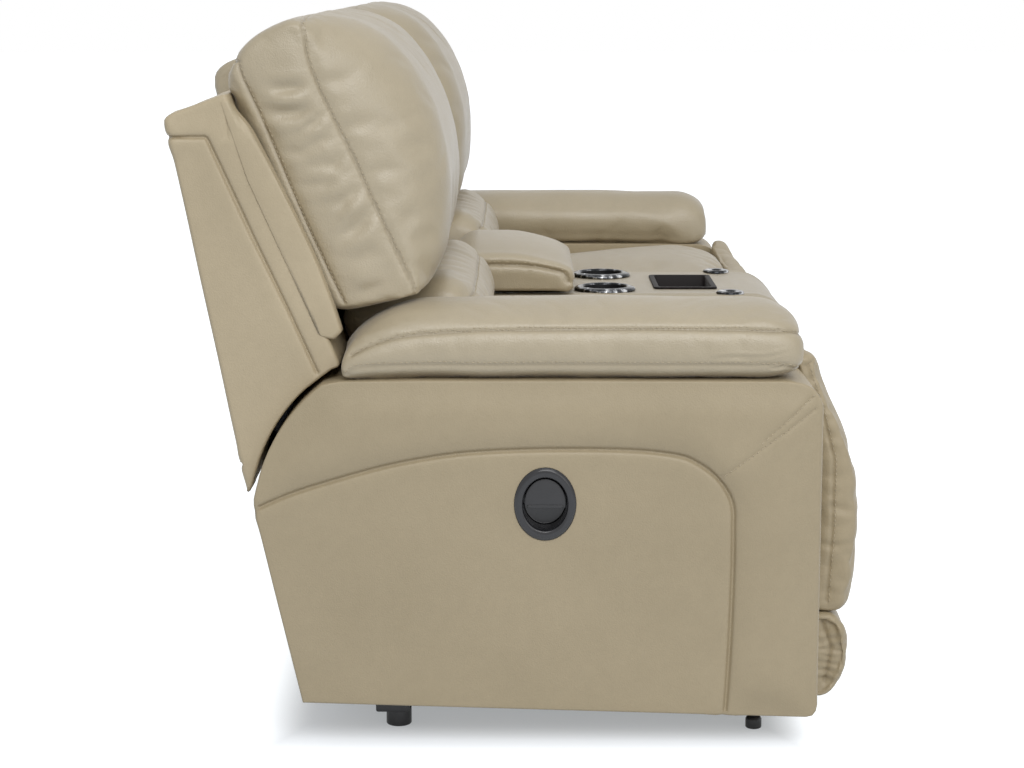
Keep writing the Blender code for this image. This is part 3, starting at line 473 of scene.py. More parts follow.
def soft_noise(thing, size, depth, seed):
    """Slow unevenness of padding, from a few waves in each direction."""
    rng = np.random.default_rng(seed)
    co, out = coordinates(thing), normals(thing)
    total = np.zeros(len(co))
    for _ in range(7):
        direction = rng.normal(size=3)
        direction /= np.linalg.norm(direction)
        wave = 2 * math.pi / (size * rng.uniform(0.7, 1.5))
        total += np.sin(co @ direction * wave + rng.uniform(0, 6.28))
    set_coordinates(thing, co + out * (total * depth / 3)[:, None])


def stitches(name, thing, seams, offset):
    """Thread of some seams as one mesh of single stitches that lie on the leather."""
    pitch, length, thick = 0.0078, 0.0054, 0.0011
    tree = tree_of(thing)
    verts, faces = [], []
    for seam in seams:
        points, outs = on_surface(tree, even(seam, spacing=pitch))
        tangents = np.gradient(points, axis=0)
        tangents /= np.maximum(np.linalg.norm(tangents, axis=1), 1e-9)[:, None]
        lying, up = on_surface(tree, points + np.cross(tangents, outs) * offset)
        for p, t, n in zip(lying, tangents, up):
            t = t - n * (t @ n)
            t /= max(np.linalg.norm(t), 1e-9)
            s = np.cross(n, t)
            base = len(verts)
            for share in (-0.36, 0.36):
                for a, b in ((1, 0), (0, 1), (-1, 0), (0, -1)):
                    verts.append(p + t * length * share + s * thick * 0.6 * a
                                 + n * (thick * 0.5 * b + thick * 0.25))
            verts += [p + t * length * end - n * thick * 0.1 for end in (-0.5, 0.5)]
            for i in range(4):
                j = (i + 1) % 4
                faces += [(base + i, base + j, base + 4 + j, base + 4 + i),
                          (base + j, base + i, base + 8), (base + 4 + i, base + 4 + j, base + 9)]
    mesh = bpy.data.meshes.new(name)
    mesh.from_pydata(np.array(verts).tolist(), [], faces)
    mesh.shade_smooth()
    mesh.materials.append(THREAD)
    return linked(name, mesh)


def mirrored(thing, name):
    """Copy of a right-hand piece for the left-hand seat."""
    made = thing.copy()
    made.data = thing.data.copy()
    made.name = made.data.name = name
    bpy.context.scene.collection.objects.link(made)
    made.data.transform(Matrix.Scale(-1, 4, (1, 0, 0)))
    made.data.flip_normals()
    return made


# Materials

def node(tree, kind, **values):
    made = tree.nodes.new(kind)
    for name, value in values.items():
        if hasattr(made, name):
            setattr(made, name, value)
        else:
            made.inputs[name].default_value = value
    return made


def ramp(tree, source, stops):
    made = tree.nodes.new("ShaderNodeValToRGB")
    elements = made.color_ramp.elements
    while len(elements) < len(stops):
        elements.new(0.5)
    for element, (at, colour) in zip(elements, stops):
        element.position = at
        element.color = (*colour, 1) if len(colour) == 3 else colour
    tree.links.new(source, made.inputs["Fac"])
    return made.outputs["Color"]


def surface(name):
    """New material with its node tree, its shader and its object coordinates."""
    made = bpy.data.materials.new(name)
    made.use_nodes = True
    tree = made.node_tree
    place = node(tree, "ShaderNodeTexCoord").outputs["Object"]
    return made, tree, tree.nodes["Principled BSDF"], place


def feed(tree, socket, value):
    """Joins a socket to another, or sets it to a plain value."""
    if isinstance(value, bpy.types.NodeSocket):
        tree.links.new(value, socket)
    else:
        socket.default_value = value


def combined(tree, operation, *values):
    made = node(tree, "ShaderNodeMath", operation=operation)
    for socket, value in zip(made.inputs, values):
        feed(tree, socket, value)
    return made.outputs[0]


def multiplied(tree, share, first, second):
    """One colour times another, by a share."""
    made = node(tree, "ShaderNodeMix", data_type="RGBA", blend_type="MULTIPLY")
    for index, value in ((0, share), (6, first), (7, second)):
        feed(tree, made.inputs[index], value)
    return made.outputs[2]


def noise(tree, place, scale, detail, rough=0.5):
    made = node(tree, "ShaderNodeTexNoise", Scale=scale, Detail=detail, Roughness=rough)
    tree.links.new(place, made.inputs["Vector"])
    return made.outputs["Fac"]


def spread(tree, value, low, high, start=0.0, end=1.0, **settings):
    """Carries the range from start to end over to the one from low to high."""
    made = node(tree, "ShaderNodeMapRange", **settings)
    for name, bound in (
        ("From Min", start), ("From Max", end), ("To Min", low), ("To Max", high), ("Value", value)):
        feed(tree, made.inputs[name], bound)
    return made.outputs["Result"]


def emboss(tree, shader, height, strength, distance):
    bump = node(tree, "ShaderNodeBump", Strength=strength, Distance=distance)
    tree.links.new(height, bump.inputs["Height"])
    tree.links.new(bump.outputs["Normal"], shader.inputs["Normal"])


def leather(name, light, dark, rough, grain=0.25, gloss=0.5, sheen=0.0):
    """Pebbled upholstery leather: two close tones in slow patches, with painted shade in its seams."""
    made, tree, shader, place = surface(name)
    fine = noise(tree, place, 60.0, 4.0, 0.65)
    patches = ramp(tree, noise(tree, place, 5.5, 3.0, 0.6), ((0.32, dark), (0.68, light)))
    mottle = ramp(tree, fine, ((0.3, (0.86, 0.85, 0.83)), (0.7, (1, 1, 1))))
    painted_seam_shade = node(tree, "ShaderNodeAttribute", attribute_name="painted_seam_shade").outputs["Fac"]
    pebble = node(tree, "ShaderNodeTexVoronoi", feature="SMOOTH_F1", Scale=520.0)
    tree.links.new(place, pebble.inputs["Vector"])
    height = combined(tree, "ADD", pebble.outputs["Distance"], noise(tree, place, 210.0, 5.0, 0.6))
    emboss(tree, shader, height, grain, 0.0011)
    plain = multiplied(tree, 0.35, patches, mottle)
    # Painted shade: the base colour darkens towards (0.38, 0.32, 0.22) where the painted seam shade
    # attribute is high.
    for socket, value in (
        ("Base Color", multiplied(tree, painted_seam_shade, plain, (0.38, 0.32, 0.22, 1))),
        ("Roughness", spread(tree, fine, rough - 0.05, rough + 0.06, 0.3, 0.7)),
        ("Specular IOR Level", gloss), ("Sheen Weight", sheen), ("Sheen Roughness", 0.35),
        ("Sheen Tint", (0.92, 0.94, 1.0, 1))):
        feed(tree, shader.inputs[socket], value)
    return made


def plastic(name, colour, rough, grain=0.0, gloss=0.5):
    made, tree, shader, place = surface(name)
    haze = noise(tree, place, 45.0, 3.0)
    darker = tuple(c * 0.8 for c in colour)
    feed(tree, shader.inputs["Base Color"], ramp(tree, haze, ((0.35, darker), (0.65, colour))))
    feed(tree, shader.inputs["Roughness"], spread(tree, haze, rough - 0.04, rough + 0.06))
    if grain:
        emboss(tree, shader, noise(tree, place, 900.0, 2.0), grain, 0.0005)
    shader.inputs["Specular IOR Level"].default_value = gloss
    return made


def metal(name, colour, rough, metallic, grain):
    made, tree, shader, place = surface(name)
    wear = noise(tree, place, 30.0, 5.0, 0.7)
    darker = tuple(c * 0.86 for c in colour)
    feed(tree, shader.inputs["Base Color"], ramp(tree, wear, ((0.3, darker), (0.7, colour))))
    feed(tree, shader.inputs["Roughness"], spread(tree, wear, max(0.02, rough - 0.05), rough + 0.07))
    shader.inputs["Metallic"].default_value = metallic
    emboss(tree, shader, noise(tree, place, 500.0, 1.0), grain, 0.0003)
    return made


def mirror_metal(name):
    """Bright trim whose colour holds painted dark and light streaks of reflection, over what it really
    mirrors.
    """
    made, tree, shader, place = surface(name)
    stretch = node(tree, "ShaderNodeVectorMath", operation="MULTIPLY")
    stretch.inputs[1].default_value = (1.0, 1.0, 0.35)
    tree.links.new(place, stretch.inputs[0])
    painted_reflection_streaks = ramp(tree, noise(tree, stretch.outputs["Vector"], 70.0, 2.5, 0.6),
                   ((0.44, (0.02, 0.021, 0.023)), (0.56, (0.12, 0.123, 0.13)),
                    (0.66, (0.66, 0.67, 0.68))))
    feed(tree, shader.inputs["Base Color"], painted_reflection_streaks)
    shader.inputs["Metallic"].default_value = 1.0
    shader.inputs["Roughness"].default_value = 0.12
    return made


def timber(name):
    made, tree, shader, place = surface(name)
    stretch = node(tree, "ShaderNodeMapping", Scale=(3.0, 40.0, 40.0))
    tree.links.new(place, stretch.inputs["Vector"])
    grain = noise(tree, stretch.outputs["Vector"], 3.0, 6.0, 0.65)
    feed(tree, shader.inputs["Base Color"], ramp(tree, grain, (
        (0.3, (0.36, 0.24, 0.13)), (0.5, (0.52, 0.38, 0.22)), (0.7, (0.62, 0.48, 0.3)))))
    shader.inputs["Roughness"].default_value = 0.7
    emboss(tree, shader, grain, 0.2, 0.0006)
    return made


def thread(name):
    made, tree, shader, place = surface(name)
    twist = noise(tree, place, 900.0, 2.0)
    feed(tree, shader.inputs["Base Color"],
         ramp(tree, twist, ((0.35, (0.42, 0.35, 0.23)), (0.65, (0.6, 0.53, 0.39)))))
    shader.inputs["Roughness"].default_value = 0.6
    return made


LEATHER = leather("beige_leather_soft", (0.455, 0.388, 0.268), (0.412, 0.35, 0.238), 0.41,
                  grain=0.32, gloss=0.85, sheen=0.22)
PANEL = leather("beige_leather_panel", (0.43, 0.357, 0.234), (0.395, 0.327, 0.212), 0.46)
# Painted light: the back's outside and its side border get a lighter copy of the panel leather, for the
# more light that falls on them.
BACK_PAINTED_LIGHTER = leather("beige_leather_back_painted_lighter", (0.518, 0.434, 0.292), (0.476, 0.398, 0.266), 0.46)
STEEL = metal("black_enamelled_steel", (0.045, 0.045, 0.05), 0.38, 0.6, 0.05)
CHROME = metal("polished_chrome", (0.82, 0.82, 0.84), 0.07, 1.0, 0.02)
# Painted reflection: the cup flanges and docks carry dark and light streaks in their colour.
PAINTED_REFLECTION_TRIM = mirror_metal("stainless_trim_painted_reflection")
WELL = plastic("black_well", (0.008, 0.008, 0.009), 0.5, gloss=0.2)
# Painted shade in part: near-black cover cloth that also stands for the shade in the gap under the back.
DUST_COVER_AND_GAP_SHADE = plastic("dust_cover_cloth_and_gap_shade", (0.015, 0.014, 0.013), 0.85, 0.3)
GLOSS = plastic("gloss_black_plastic", (0.018, 0.018, 0.021), 0.22)
SATIN = plastic("satin_black_plastic", (0.022, 0.022, 0.024), 0.42, 0.25)
TRAY = plastic("black_tray", (0.01, 0.007, 0.007), 0.55, gloss=0.18)
RUBBER = plastic("cable_rubber", (0.03, 0.03, 0.03), 0.6, 0.2)
TIMBER = timber("plywood_grain")
THREAD = thread("seam_thread")


def fasten(thing, body):
    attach(thing, body)


def dress(thing, material, slot, body, *replaced, fill=None):
    thing.data.materials.clear()
    thing.data.materials.append(material)
    fasten(thing, body)
    if replaced:
        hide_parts(*replaced)


def pair(thing, kind, material, slot, body, replaced=(), fill=None, seams=None, offset=0.0042):
    """Sets a right-hand piece and its mirror image on their bodies, with the thread of its seams."""
    line = stitches(f"right_{kind}_stitching", thing, seams, offset) if seams else None
    for word, side in SIDES:
        piece = thing if side < 0 else mirrored(thing, f"left_{kind}")
        root = body if body == ROOT else f"{word}_{body}"
        dress(piece, material, slot, root, *(f"{word}_{name}" for name in replaced), fill=fill)
        if line:
            fasten(line if side < 0 else mirrored(line, f"left_{kind}_stitching"), root)


# Camera, light and floor

def camera():
    data = bpy.data.cameras.new("camera")
    data.sensor_width = 36
    data.lens = 83.3
    eye = linked("camera", data)
    eye.location = (-4.236, 0, 1.102)
    turn, tilt = math.radians(0.0725), math.radians(9.79)
    look = Vector((math.cos(turn) * math.cos(tilt), math.sin(turn) * math.cos(tilt), -math.sin(tilt)))
    eye.rotation_euler = look.to_track_quat("-Z", "Y").to_euler()
    bpy.context.scene.camera = eye


def lamp(name, place, target, size, power):
    data = bpy.data.lights.new(name, "AREA")
    data.shape = "RECTANGLE"
    data.size, data.size_y = size
    data.energy = power
    made = linked(name, data)
    made.location = place
    made.rotation_euler = (Vector(target) - Vector(place)).to_track_quat("-Z", "Y").to_euler()


def seen_directly(tree):
    """One for camera, glossy and transmission rays, else nothing."""
    ray = tree.nodes.new("ShaderNodeLightPath").outputs
    seen = combined(tree, "MAXIMUM", ray["Is Camera Ray"], ray["Is Glossy Ray"])
    return combined(tree, "MAXIMUM", seen, ray["Is Transmission Ray"])


def studio_floor():
    """Pale floor that keeps the shadow close to the sofa and is white away from it; its blue-tinted glow is
    dimmer in a box round the sofa and rises outward, a painted fade of that shadow.
    """
    floor = new_object("floor", [(-30, -30, 0), (30, -30, 0), (30, 30, 0), (-30, 30, 0)],
                       [(0, 1, 2, 3)])
    made, tree, shader, place = surface("studio_floor")
    for socket, value in (("Base Color", (0.56, 0.58, 0.62, 1)), ("Roughness", 0.9),
                          ("Specular IOR Level", 0.0)):
        shader.inputs[socket].default_value = value
    axes = node(tree, "ShaderNodeSeparateXYZ")
    tree.links.new(place, axes.inputs[0])
    away = []
    for axis, shift, near, far in (("X", 0.0, 0.82, 1.07), ("Y", 0.03, 0.33, 0.44)):
        size = combined(tree, "ABSOLUTE", combined(tree, "ADD", axes.outputs[axis], shift))
        away.append(spread(tree, size, 0.0, 1.0, near, far, interpolation_type="SMOOTHSTEP"))
    # Painted shadow: the glow is 0.355 inside a box round the sofa's footprint and rises to 1 outside it, a
    # painted fade of the shadow; its blue tint is painted shade colour.
    glow_with_painted_shadow_fade = spread(tree, combined(tree, "MAXIMUM", *away), 0.355, 1.0)
    glow = node(tree, "ShaderNodeEmission", Color=(0.95, 0.98, 1.0, 1))
    feed(tree, glow.inputs["Strength"], combined(tree, "MULTIPLY", glow_with_painted_shadow_fade, seen_directly(tree)))
    both = tree.nodes.new("ShaderNodeAddShader")
    tree.links.new(shader.outputs[0], both.inputs[0])
    tree.links.new(glow.outputs[0], both.inputs[1])
    tree.links.new(both.outputs[0], tree.nodes["Material Output"].inputs["Surface"])
    floor.data.materials.append(made)


def surroundings():
    world = bpy.context.scene.world or bpy.data.worlds.new("studio")
    bpy.context.scene.world = world
    world.use_nodes = True
    tree = world.node_tree
    back = tree.nodes["Background"]
    feed(tree, back.inputs["Strength"], spread(tree, seen_directly(tree), 0.43, 1.0))
    back.inputs["Color"].default_value = (1, 1, 1, 1)
    lamp("overhead", (-0.6, -0.6, 3.6), (0, 0, 0.3), (4.0, 4.0), 14)
    lamp("key", (-6.2, -0.8, 5.2), (0, 0, 0.5), (4.2, 3.4), 215)
    lamp("front", (-4.4, -2.6, 1.9), (0.3, 0, 0.6), (3.0, 2.2), 30)
    studio_floor()
    bpy.context.scene.view_settings.view_transform = "Standard"


# Arms

ARM_OUTLINE = np.concatenate([
    [(0.306, 0.068), (0.34, 0.215), (0.3705, 0.35)],
    arc(RECLINE_PIVOT, 0.2553, 8, 53, 10),
    [(0.244, 0.5385), (0.15, 0.54), (-0.1, 0.54), (-0.385, 0.539)],
    arc((-0.392, 0.4935), 0.044, 94, 178, 9),
    [(-0.4365, 0.47), (-0.4365, 0.3), (-0.4365, 0.062)],
    [(-0.433, 0.05), (-0.424, 0.0465)]])
TOP_STITCHES = (np.array([(-0.4211, 0.5179), (-0.3504, 0.4518)]),
                np.array([(-0.4243, 0.4992), (-0.3002, 0.4057)]))
ARC_SEAM = curved([
    (0.3725, 0.352), (0.317, 0.376), (0.251, 0.397), (0.186, 0.415), (0.121, 0.428), (0.056, 0.436),
    (-0.042, 0.44), (-0.16, 0.439), (-0.228, 0.432), (-0.256, 0.422), (-0.283, 0.403), (-0.301, 0.38),
    (-0.31, 0.356), (-0.311, 0.324), (-0.311, 0.254), (-0.308, 0.146), (-0.303, 0.05)])


def oval(radius):
    """Outline round the latch, at a distance from its middle that is taller by a fifth."""
    return arc((0, 0), radius, 0, 360, 72) * (1, TALLER) + LATCH


def arm_body():
    outline = even(ARM_OUTLINE, count=260, closed=True)
    y, z = outline.T
    inset = np.full(len(outline), 0.0035)
    roll = np.full(len(outline), 0.004)
    front = y < -0.425
    inset[front], roll[front] = 0.0105, 0.0115
    top = (z > 0.5) & (y < 0.236)
    inset[top], roll[top] = 0.0035, 0.0065
    base = z < 0.066
    inset[base], roll[base] = 0.003, 0.0035
    inset, roll = eased(inset, 5), eased(roll, 5)
    rim = outline - outward(outline) * inset[:, None]
    thing = lofted("right_arm_upholstery", outline,
                   ((ARM_FACE, rim, roll, 0.0), (-0.7712, shrunk(outline, 0.0014), 0.0014, 0.0)),
                   cap_step=0.01)
    faced(thing, rim, ARM_FACE, [ARC_SEAM, *TOP_STITCHES, oval(0.0365)])
    lines = [to3d(line, ARM_FACE) for line in (ARC_SEAM, *TOP_STITCHES)]
    co = coordinates(thing)
    side = smoothstep(0.915, 0.946, -co[:, 0])
    puff = 1 - np.exp(-(nearest_seam(co, lines[:1], 0.08) / 0.02) ** 2)
    rim_gap = nearest_seam(co, [to3d(np.vstack([rim, rim[:1]]), ARM_FACE)], 0.08)
    panel = within(co[:, 1:], np.vstack([ARC_SEAM, [(-0.303, 0.02), (0.296, 0.02)]]))
    puff *= np.where(panel, 0.0012, 0.008 * smoothstep(-0.006, 0.05, rim_gap))
    co[:, 0] -= side * puff
    set_coordinates(thing, co)
    seams = seat_seams(thing, lines)
    groove(thing, seams[:1], 0.0046, 0.003, 0.0012, 0.012)
    groove(thing, seams[1:], 0.0007, 0.0026, 0.0008, 0.009)
    mark_only(thing, seams[:1])
    open_cup(thing)
    pair(thing, "arm_upholstery", PANEL, "panel_leather", ROOT, ["arm_body"], seams=seams[1:],
         offset=0.0)


def open_cup(thing):
    """Opens the arm's side for the latch cup and lines the hole."""
    work = opened(thing)
    hole, floor_x = 0.0365, -0.907

    def reach(point):
        return math.hypot(point.y - LATCH[0], (point.z - LATCH[1]) / TALLER)
    gone = [f for f in work.faces if f.calc_center_median().x < -0.93
            and reach(f.calc_center_median()) < hole - 0.0003]
    bmesh.ops.delete(work, geom=gone, context="FACES")
    rim = [e for e in work.edges if e.is_boundary
           and all(v.co.x < -0.93 and reach(v.co) < 0.045 for v in e.verts)]
    for vert in {v for e in rim for v in e.verts}:
        scale = hole / reach(vert.co)
        vert.co.y = LATCH[0] + (vert.co.y - LATCH[0]) * scale
        vert.co.z = LATCH[1] + (vert.co.z - LATCH[1]) * scale
    grown = bmesh.ops.extrude_edge_only(work, edges=rim)["geom"]
    for vert in (g for g in grown if isinstance(g, bmesh.types.BMVert)):
        vert.co.x = floor_x
    bmesh.ops.contextual_create(work, geom=[g for g in grown if isinstance(g, bmesh.types.BMEdge)])
    bmesh.ops.recalc_face_normals(work, faces=work.faces)
    store(work, thing)


def apply_modifiers(thing):
    graph = bpy.context.evaluated_depsgraph_get()
    made = bpy.data.meshes.new_from_object(thing.evaluated_get(graph),
                                           preserve_all_data_layers=True, depsgraph=graph)
    thing.modifiers.clear()
    old = thing.data
    thing.data = made
    made.name = thing.name
    bpy.data.meshes.remove(old)


def carve(thing, work):
    """Cuts the shapes of a working mesh out of a piece."""
    mesh = bpy.data.meshes.new("cutter")
    work.to_mesh(mesh)
    work.free()
    cutter = linked("cutter", mesh)
    step = thing.modifiers.new("openings", "BOOLEAN")
    step.operation = "DIFFERENCE"
    step.solver = "EXACT"
    step.object = cutter
    apply_modifiers(thing)
    bpy.data.objects.remove(cutter)
    thing.data.shade_smooth()


def add_block(work, low, high):
    size = Vector(high) - Vector(low)
    bmesh.ops.create_cube(work, size=1, matrix=Matrix.Translation((Vector(low) + Vector(high)) / 2)
                          @ Matrix.Diagonal((*size, 1)))


def evened(thing, values, rounds):
    """Values at a mesh's points, spread out along its edges."""
    ends = np.empty(len(thing.data.edges) * 2, np.int64)
    thing.data.edges.foreach_get("vertices", ends)
    a, b = ends.reshape(-1, 2).T
    count = len(values)
    degree = np.bincount(a, minlength=count) + np.bincount(b, minlength=count)
    for _ in range(rounds):
        total = (np.bincount(a, values[b], minlength=count)
                 + np.bincount(b, values[a], minlength=count))
        values = 0.5 * values + 0.5 * total / np.maximum(degree, 1)
    return values


def puffed(thing, seams, slack, voxel=0.006, cap=0.022, growth=0.25, crisp=0.5):
    """Fills a cushion with air as cloth that its seams hold, and keeps its folds.

    Slack is the share of spare cloth, cap the furthest that a point may move,
    growth the share of the even swelling that stays and crisp that of the finest folds.
    """
    step = thing.modifiers.new("even_mesh", "REMESH")
    step.mode = "VOXEL"
    step.voxel_size = voxel
    apply_modifiers(thing)
    rest, out = coordinates(thing), normals(thing)
    held = np.exp(-(nearest_seam(rest, seams, 0.05) / 0.007) ** 2)
    group = thing.vertex_groups.new(name="sewn")
    for index in np.flatnonzero(held > 0.03):
        group.add([int(index)], float(held[index]), "REPLACE")
    cloth = thing.modifiers.new("air", "CLOTH")
    for name, value in (
        ("quality", 4), ("mass", 0.3), ("tension_stiffness", 15), ("compression_stiffness", 15),
        ("shear_stiffness", 5), ("bending_stiffness", 0.6), ("use_pressure", True),
        ("uniform_pressure_force", 4.0), ("shrink_min", -slack), ("vertex_group_mass", "sewn")):
        setattr(cloth.settings, name, value)
    cloth.settings.effector_weights.gravity = 0
    cloth.collision_settings.use_collision = False
    cloth.point_cache.frame_start, cloth.point_cache.frame_end = 1, 20
    for moment in range(1, 21):
        bpy.context.scene.frame_set(moment)
    apply_modifiers(thing)
    bpy.context.scene.frame_set(1)
    thing.vertex_groups.clear()
    moved = coordinates(thing) - rest
    rise = (moved * out).sum(1)
    calm = evened(thing, rise, 8)
    moved -= out * ((rise - calm) * (1 - crisp))[:, None]
    moved -= out * (evened(thing, calm, 90) * (1 - growth))[:, None]
    far = np.linalg.norm(moved, axis=1)
    moved *= (np.minimum(far, cap) / np.maximum(far, 1e-9))[:, None]
    set_coordinates(thing, rest + moved)
    work = opened(thing)
    bmesh.ops.smooth_vert(work, verts=work.verts, factor=0.35, use_axis_x=True, use_axis_y=True,
                          use_axis_z=True)
    store(work, thing)
    step = thing.modifiers.new("finer", "SUBSURF")
    step.levels = step.render_levels = 1
    apply_modifiers(thing)
    thing.data.shade_smooth()


CORNER_FOLDS = [
    ([(-0.2902, 0.577), (-0.3506, 0.5735), (-0.3995, 0.5841)], 0.0016, 0.0024),
    ([(-0.3086, 0.5685), (-0.3605, 0.5685), (-0.3954, 0.5756)], 0.0014, 0.0022),
    ([(-0.3326, 0.5621), (-0.3718, 0.5628), (-0.3928, 0.5685)], 0.0014, 0.002),
    ([(-0.3523, 0.5557), (-0.3789, 0.5579), (-0.3915, 0.5628)], 0.0012, 0.002),
    ([(-0.2595, 0.5714), (-0.3085, 0.5728), (-0.3465, 0.5671)], 0.001, 0.0026)]


def arm_pillow():
    """Arm pad: a domed top that is sewn to a side panel, which bulges over the arm's edge."""
    section = curved([
        (-0.774, 0.538), (-0.7712, 0.5405), (-0.7706, 0.57), (-0.773, 0.596), (-0.783, 0.618),
        (-0.802, 0.634), (-0.83, 0.6415), (-0.8625, 0.643), (-0.895, 0.6408), (-0.923, 0.632),
        (-0.943, 0.616), (-0.9525, 0.592), (-0.954, 0.572), (-0.95, 0.554), (-0.94, 0.5445),
        (-0.925, 0.5405)])
    floor_line = np.column_stack([np.linspace(-0.925, -0.774, 14)[1:-1],
                                  np.linspace(0.5405, 0.538, 14)[1:-1]])
    section = even(np.vstack([section, floor_line]), count=110, closed=True)
    centre_x, base, top = -0.8625, 0.5405, 0.643
    stations = np.concatenate([np.linspace(0.2445, 0.2, 9, endpoint=False),
                               np.linspace(0.2, -0.345, 44, endpoint=False),
                               np.linspace(-0.345, -0.406, 13)])
    rings = []
    for y in stations:
        front = np.clip((-0.345 - y) / 0.0615, 0, 1)
        rear = np.clip((y - 0.1) / 0.1447, 0, 1)
        high = top - (top - 0.592) * (1 - math.sqrt(max(0.0, 1 - front ** 2)))
        high -= (top - 0.563) * (1 - max(0.0, 1 - rear ** 2.1) ** 0.62)
        low = base + 0.022 * (1 - math.sqrt(max(0.0, 1 - front ** 2)))
        narrow = 1 - 0.24 * (1 - math.sqrt(max(0.0, 1 - front ** 2.6)))
        narrow -= 0.06 * (1 - math.sqrt(max(0.0, 1 - rear ** 4)))
        ring = np.empty((len(section), 3))
        ring[:, 0] = centre_x + (section[:, 0] - centre_x) * narrow
        ring[:, 1] = y
        ring[:, 2] = low + (section[:, 1] - base) * (high - low) / (top - base)
        rings.append(ring)
    for first, edge in ((True, rings[0]), (False, rings[-1])):
        centre = edge.mean(0)
        caps = [centre + (edge - centre) * share for share in (0.93, 0.78, 0.58, 0.36, 0.15)]
        rings = caps[::-1] + rings if first else rings + caps
    thing = ring_mesh("right_arm_pad", rings)
    upper = curved([
        (-0.95, 0.233, 0.5803), (-0.95, 0.187, 0.5965), (-0.95, 0.134, 0.606), (-0.9505, 0.021, 0.6131),
        (-0.9505, -0.1198, 0.6152), (-0.9505, -0.2974, 0.6145), (-0.944, -0.36, 0.609),
        (-0.925, -0.398, 0.602), (-0.9, -0.405, 0.6), (-0.85, -0.407, 0.6), (-0.815, -0.405, 0.598),
        (-0.798, -0.396, 0.58), (-0.793, -0.39, 0.556)])
    lower = curved([
        (-0.952, 0.235, 0.549), (-0.9535, 0.2178, 0.5595), (-0.9545, 0.13, 0.5621),
        (-0.9545, 0.0211, 0.5621), (-0.9545, -0.2599, 0.5621), (-0.95, -0.355, 0.5625),
        (-0.93, -0.392, 0.563), (-0.9, -0.402, 0.564)])
    lines = [upper, lower]
    hem = np.array([(-0.948, 0.235, 0.5425), (-0.948, -0.375, 0.5425)])
    seams = sewn(thing, lines, 0.012, [hem], voxel=0.005, crisp=0.3)
    groove(thing, seams[:1], 0.0024, 0.003, 0.0018, 0.014)
    groove(thing, seams[1:], 0.001, 0.003, 0.0008, 0.01, shade=0.3)
    folds(thing, CORNER_FOLDS, -0.9545)
    soft_noise(thing, 0.16, 0.0008, seed=3)
    pair(thing, "arm_pad", LEATHER, "beige_leather", ROOT, ["arm_pillow"], fill=0.7,
         seams=seams, offset=-0.0042)


# Backs

BACK_OUTLINE = np.vstack([
    arc(RECLINE_PIVOT, 0.2632, 57, 10, 14), [(0.3835, 0.3695)],
    rounded([(0.3835, 0.3695), (0.4893, 0.904), (0.4795, 0.9118), (0.403, 0.9392),
             (0.3625, 0.817), (0.248, 0.557)],
            (0.002, 0.004, 0.004, 0.006, 0.02, 0.004), 4)[5:]])

ROLL_FRONT = curved([
    (0.403, 0.933), (0.39, 0.915), (0.372, 0.893), (0.35, 0.852), (0.329, 0.81), (0.303, 0.756),
    (0.28, 0.704), (0.265, 0.664), (0.253, 0.63), (0.245, 0.604)])


def back_frame():
    outline = even(BACK_OUTLINE, count=260, closed=True)
    y, z = outline.T
    edge = np.where(np.hypot(y - RECLINE_PIVOT[0], z - RECLINE_PIVOT[1]) < 0.2665, 0.0035, 0.0065)
    edge = eased(edge, 4)
    rim = outline - outward(outline) * edge[:, None]
    x = -0.919
    thing = lofted("right_back_upholstery", outline,
                   ((x, rim, edge + 0.0005, 0.0), (-0.191, rim, edge + 0.0005, 0.0)), cap_step=0.007)
    panel = [(0.486, 0.879), (0.431, 0.879), (0.369, 0.739), (0.319, 0.632), (0.281, 0.546)]
    cap = [(0.403, 0.884), (0.3985, 0.92)]
    faced(thing, rim, x, [panel, cap])
    rear = np.array([(x + 0.004, 0.4846, 0.879), (-0.195, 0.4846, 0.879)])
    edges = [np.array([(x + 0.04, 0.487, 0.896), (x + 0.04, 0.388, 0.394)]),
             np.array([(-0.23, 0.487, 0.896), (-0.23, 0.388, 0.394)])]
    hem = np.array([(x + 0.004, 0.392, 0.412), (-0.195, 0.392, 0.412)])
    rear_lines = [rear, hem, *edges]
    refine(thing, seat_seams(thing, rear_lines))
    seams = seat_seams(thing, [to3d(panel, x), to3d(cap, x), *rear_lines])
    groove(thing, seams[:1], 0.004, 0.0026, 0.0014, 0.012)
    groove(thing, seams[1:2], 0.0012, 0.0028, 0.001, 0.012)
    groove(thing, seams[2:], 0.0024, 0.003, 0.0012, 0.012)
    mark_only(thing, [seams[0], *seams[2:]])
    soft_noise(thing, 0.22, 0.0006, seed=8)
    pair(thing, "back_upholstery", BACK_PAINTED_LIGHTER, "panel_leather", "back", ["back_frame"], seams=seams[2:])
    side_roll()
    dust_cover()
    for word, side in SIDES:
        for index, offset in enumerate((0.288, -0.288)):
            hinge_bracket(word, side, index, side * SEAT_CENTRE + offset - math.copysign(0.007, offset))


def side_roll():
    """Padded border that runs down beside the back pillow."""
    rear = np.array([(0.256, 0.593), (0.274, 0.596), (0.376, 0.82), (0.413, 0.93)])
    outline = even(np.vstack([ROLL_FRONT, rear]), count=150, closed=True)
    thing = lofted("right_back_side_border", outline,
                   ((-0.9214, shrunk(outline, 0.006), 0.0065, 0.0012),
                    (-0.8885, shrunk(outline, 0.003), 0.003, 0.0)), cap_step=0.004, step=0.008)
    pair(thing, "back_side_border", BACK_PAINTED_LIGHTER, "panel_leather", "back")


